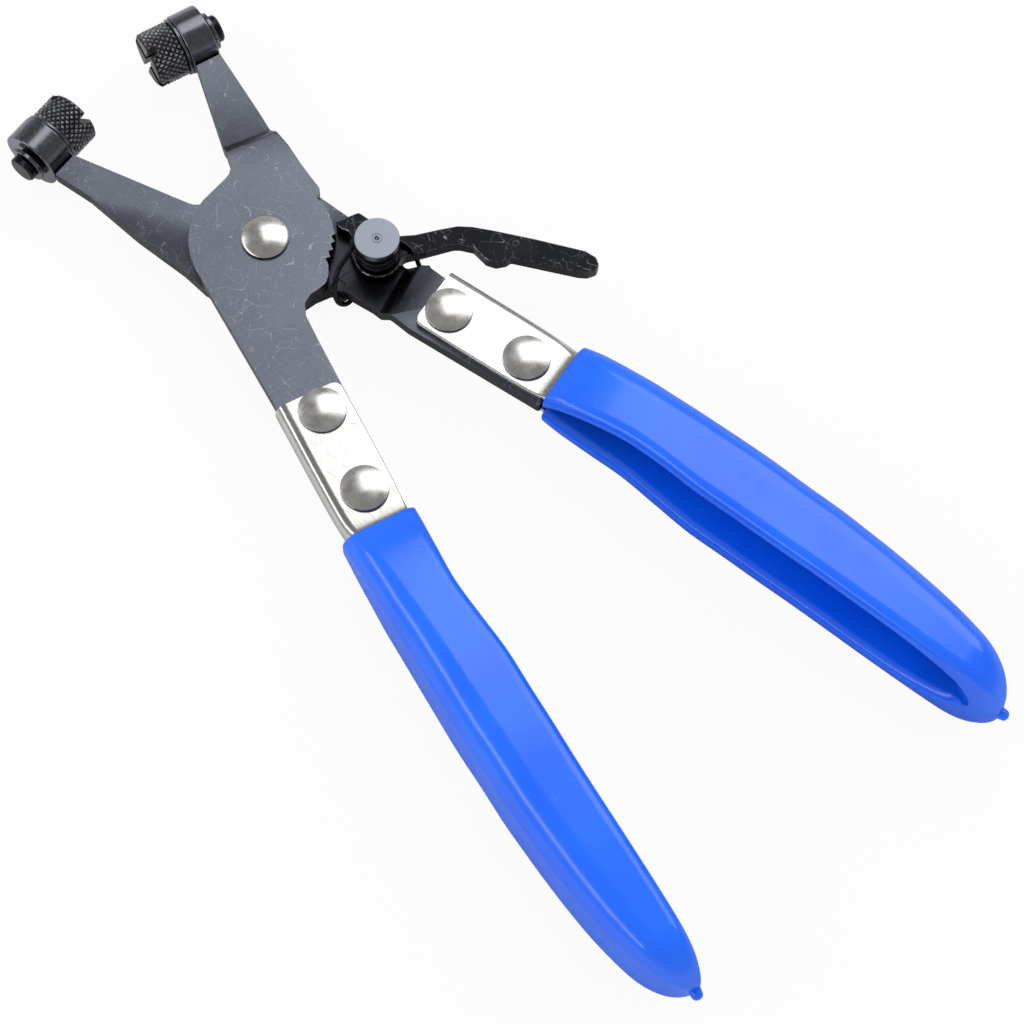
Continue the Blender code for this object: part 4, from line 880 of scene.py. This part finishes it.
# the swivel tip: a knurled head whose diamonds are raised in the mesh, crossed slots, shank and grooved stub
def tip(turn):
    s = tipSizes
    low, high = s["floor"] + s["foot"], s["top"] - s["chamfer"]
    rows = [high + (low - high) * i / knurl["rows"] for i in range(knurl["rows"] + 1)]
    profile = [(0, s["top"]), (s["radius"] - s["chamfer"] - s["rimBreak"], s["top"])]
    profile += [(s["radius"], height) for height in rows]
    profile += [(s["radius"] - s["foot"], s["floor"]), (s["shank"], s["floor"]), (s["shank"], s["grooveTop"]),
                (s["groove"], s["grooveTop"]), (s["groove"], s["grooveFloor"]), (s["shank"], s["grooveFloor"]),
                (s["shank"], s["stub"] + s["stubBreak"]), (s["shank"] - s["stubBreak"], s["stub"]),
                (0, s["stub"])]
    bm = lathe(profile, knurl["columns"])
    crests, valleys = [], set()
    for vert in bm.verts:
        if vert.co.xy.length < (s["radius"] - 0.01) * mm:
            continue
        column = round(math.atan2(vert.co.y, vert.co.x) / (math.tau / knurl["columns"]))
        row = min(range(len(rows)), key=lambda i: abs(rows[i] * mm - vert.co.z))
        if (column + row) % 2:
            crests.append(vert)
        else:
            valleys.add(vert)
    for vert in valleys:
        vert.co.xy *= (s["radius"] - knurl["depth"]) / s["radius"]
    for face in list(bm.faces):
        ends = [vert for vert in face.verts if vert in valleys]
        if len(face.verts) == 4 and len(ends) == 2 and all(v in valleys or v in crests for v in face.verts):
            bmesh.utils.face_split(face, ends[0], ends[1])
    bmesh.ops.bevel(bm, geom=crests, offset=knurl["crest"] * mm, affect="VERTICES", segments=1, profile=0.5,
                    material=-1, clamp_overlap=True)
    bm = carved(bm, [slotCutter(turn), slotCutter(turn + math.pi / 2)])
    wear = bm.verts.layers.float.new("wear")  # painted highlight and wear: 1 on the crests of the diamonds, 0 in the cuts
    for vert in bm.verts:
        reach = vert.co.xy.length / mm
        if reach > s["radius"] - knurl["depth"] - 0.2:
            vert[wear] = min(max((reach - s["radius"] + knurl["highlightWearDepth"]) / knurl["highlightWearSpan"], 0), 1)
    return bm


# the open retaining clip: a flat ring with a mouth and three prongs, pressed from thin sheet
def clip():
    s = clipSizes
    mouth = math.radians(s["mouth"])
    points = arcPoints(0, 0, s["outer"], mouth, math.tau - mouth, 48)
    for kind, start, end in clipArcs:
        points += arcPoints(0, 0, s[kind], math.radians(start), math.radians(end), 8)
    bm = bmesh.new()
    face = bm.faces.new([bm.verts.new((x * mm, y * mm, s["floor"] * mm)) for x, y in points])
    lifted = bmesh.ops.extrude_face_region(bm, geom=[face])
    bmesh.ops.translate(bm, vec=(0, 0, s["thick"] * mm),
                        verts=[item for item in lifted["geom"] if isinstance(item, bmesh.types.BMVert)])
    bmesh.ops.recalc_face_normals(bm, faces=bm.faces)
    rims = [edge for edge in bm.edges if len(edge.link_faces) == 2
            and abs(edge.verts[0].co.z - edge.verts[1].co.z) < 0.01 * mm]
    bmesh.ops.bevel(bm, geom=rims, offset=s["round"] * mm, affect="EDGES", segments=2, profile=0.5,
                    material=-1, clamp_overlap=True)
    return bm


for side, half in ((1, "front"), (-1, "back")):
    joint = joints[half + "_tip_swivel"]
    place, axis = Vector(joint["pos_m"]), joint["axis"]
    arm = (armLine[0] * side, armLine[1], 0)
    for bm, node, finish in ((eye("collar"), "collar", "collar"), (eye("washer"), "tip_washer", "collar"),
                             (tip(math.radians(tipTurns[half])), "tip", "tip"), (clip(), "tip_clip", "collar")):
        stand(bm, place, axis, arm)
        words = "".join(word.capitalize() for word in node.split("_"))
        finishPiece(half + words + "Made", bm, f"{half}_{node}", finish, smoothAngle=18)
print("heads made")


# floor, light and camera

room = {"floorSize": 3.0, "floorDrop": 0.05, "floor": "#D8D8D8", "whiteShare": 0.94, "fill": 0.80, "dark": 0.20,
        "rim": 0.38, "rimTop": 0.15, "darkFrom": 0.55}
softboxes = {
    "keySoftbox": {"spot": (0.623, 0.244, 0.801), "size": (1.1, 0.78), "power": 4.3},
    "sideStrip": {"spot": (-0.736, 0.407, 0.53), "size": (0.20, 1.5), "power": 2.4},
}
boxUp = Vector((0.669, 0.743, 0))  # the softboxes stand square to the picture
# eye and aim in mm, the way up on the floor in degrees, and the focal length in pixels of a picture this wide
photoView = {"eye": (-135.53, -153.54, 474.49), "aim": (-2.31, -19.10, 10.65), "up": 48.10, "focal": 2611.6,
             "width": 1024, "sensor": 36.0}


# the floor can be looked through from below
def paleFloor():
    bm = bmesh.new()
    bmesh.ops.create_grid(bm, x_segments=1, y_segments=1, size=room["floorSize"] / 2)
    bmesh.ops.translate(bm, vec=(0, 0, -room["floorDrop"] * mm), verts=bm.verts)
    mesh = bpy.data.meshes.new("floor")
    bm.to_mesh(mesh)
    bm.free()
    floor = bpy.data.objects.new("floor", mesh)
    bpy.context.scene.collection.objects.link(floor)
    material, shader = newMaterial("paleFloor", room["floor"], 0.0, 0.9)
    path = addNode(material, "ShaderNodeLightPath")
    share = maths(material, "MULTIPLY", (path, "Is Camera Ray"), room["whiteShare"])
    glow = addNode(material, "ShaderNodeEmission", values={"Color": linear("#FFFFFF"), "Strength": 1.0})
    mix = addNode(material, "ShaderNodeMixShader", links={"Fac": (share, "Value")})
    link(material, shader, "BSDF", mix, 1)
    link(material, glow, "Emission", mix, 2)
    side = addNode(material, "ShaderNodeNewGeometry")
    clear = addNode(material, "ShaderNodeBsdfTransparent")
    seen = addNode(material, "ShaderNodeMixShader", links={"Fac": (side, "Backfacing")})
    link(material, mix, "Shader", seen, 1)
    link(material, clear, "BSDF", seen, 2)
    link(material, seen, "Shader", material.node_tree.nodes["Material Output"], "Surface")
    mesh.materials.append(material)


# a white studio: even light for matt surfaces, and for mirrors a dark ceiling above a pale horizon
def studio():
    world = bpy.data.worlds.new("studio")
    bpy.context.scene.world = world
    world.use_nodes = True
    back = world.node_tree.nodes["Background"]
    place = addNode(world, "ShaderNodeTexCoord")
    split = addNode(world, "ShaderNodeSeparateXYZ", links={"Vector": (place, "Generated")})
    height = addNode(world, "ShaderNodeMapRange", {"interpolation_type": "SMOOTHSTEP"},
                     {"From Min": room["rimTop"], "From Max": room["darkFrom"], "To Min": room["rim"],
                      "To Max": room["dark"]}, {"Value": (split, "Z")})
    path = addNode(world, "ShaderNodeLightPath")
    glossy = maths(world, "MULTIPLY", (path, "Is Glossy Ray"), (height, "Result"))
    others = maths(world, "SUBTRACT", 1.0, (path, "Is Glossy Ray"))
    matt = maths(world, "MULTIPLY", (others, "Value"), room["fill"])
    indoors = maths(world, "ADD", (glossy, "Value"), (matt, "Value"))
    seen = maths(world, "MAXIMUM", (indoors, "Value"), (path, "Is Camera Ray"))
    link(world, seen, "Value", back, "Strength")
    back.inputs["Color"].default_value = linear("#FFFFFF")


# a place whose Z axis points along back, as a lamp or a camera that looks the other way
def looking(spot, back, up):
    right = up.cross(back).normalized()
    return Matrix.Translation(spot) @ Matrix((right, back.cross(right), back)).transposed().to_4x4()


# a lamp that looks at the middle of the frame
def softbox(name, spot, size, power):
    lamp = bpy.data.lights.new(name, "AREA")
    lamp.shape = "RECTANGLE"
    lamp.size, lamp.size_y = size
    lamp.energy = power
    made = bpy.data.objects.new(name, lamp)
    bpy.context.scene.collection.objects.link(made)
    made.matrix_world = looking(Vector(spot), Vector(spot).normalized(), boxUp)


# the photograph's view, fitted to the outline of the object
def camera():
    lens = bpy.data.cameras.new("photoView")
    lens.sensor_width = photoView["sensor"]
    lens.lens = photoView["sensor"] * photoView["focal"] / photoView["width"]
    lens.clip_start, lens.clip_end = 0.01, 10.0
    made = bpy.data.objects.new("photoView", lens)
    bpy.context.scene.collection.objects.link(made)
    spot, aim = Vector(photoView["eye"]) * mm, Vector(photoView["aim"]) * mm
    angle = math.radians(photoView["up"])
    up = Vector((math.cos(angle), math.sin(angle), 0))
    made.matrix_world = looking(spot, (spot - aim).normalized(), up)
    bpy.context.scene.camera = made


paleFloor()
studio()
for name, box in softboxes.items():
    softbox(name, box["spot"], box["size"], box["power"])
camera()
bpy.context.scene.view_settings.view_transform = "Standard"
print("room, light and camera ready")
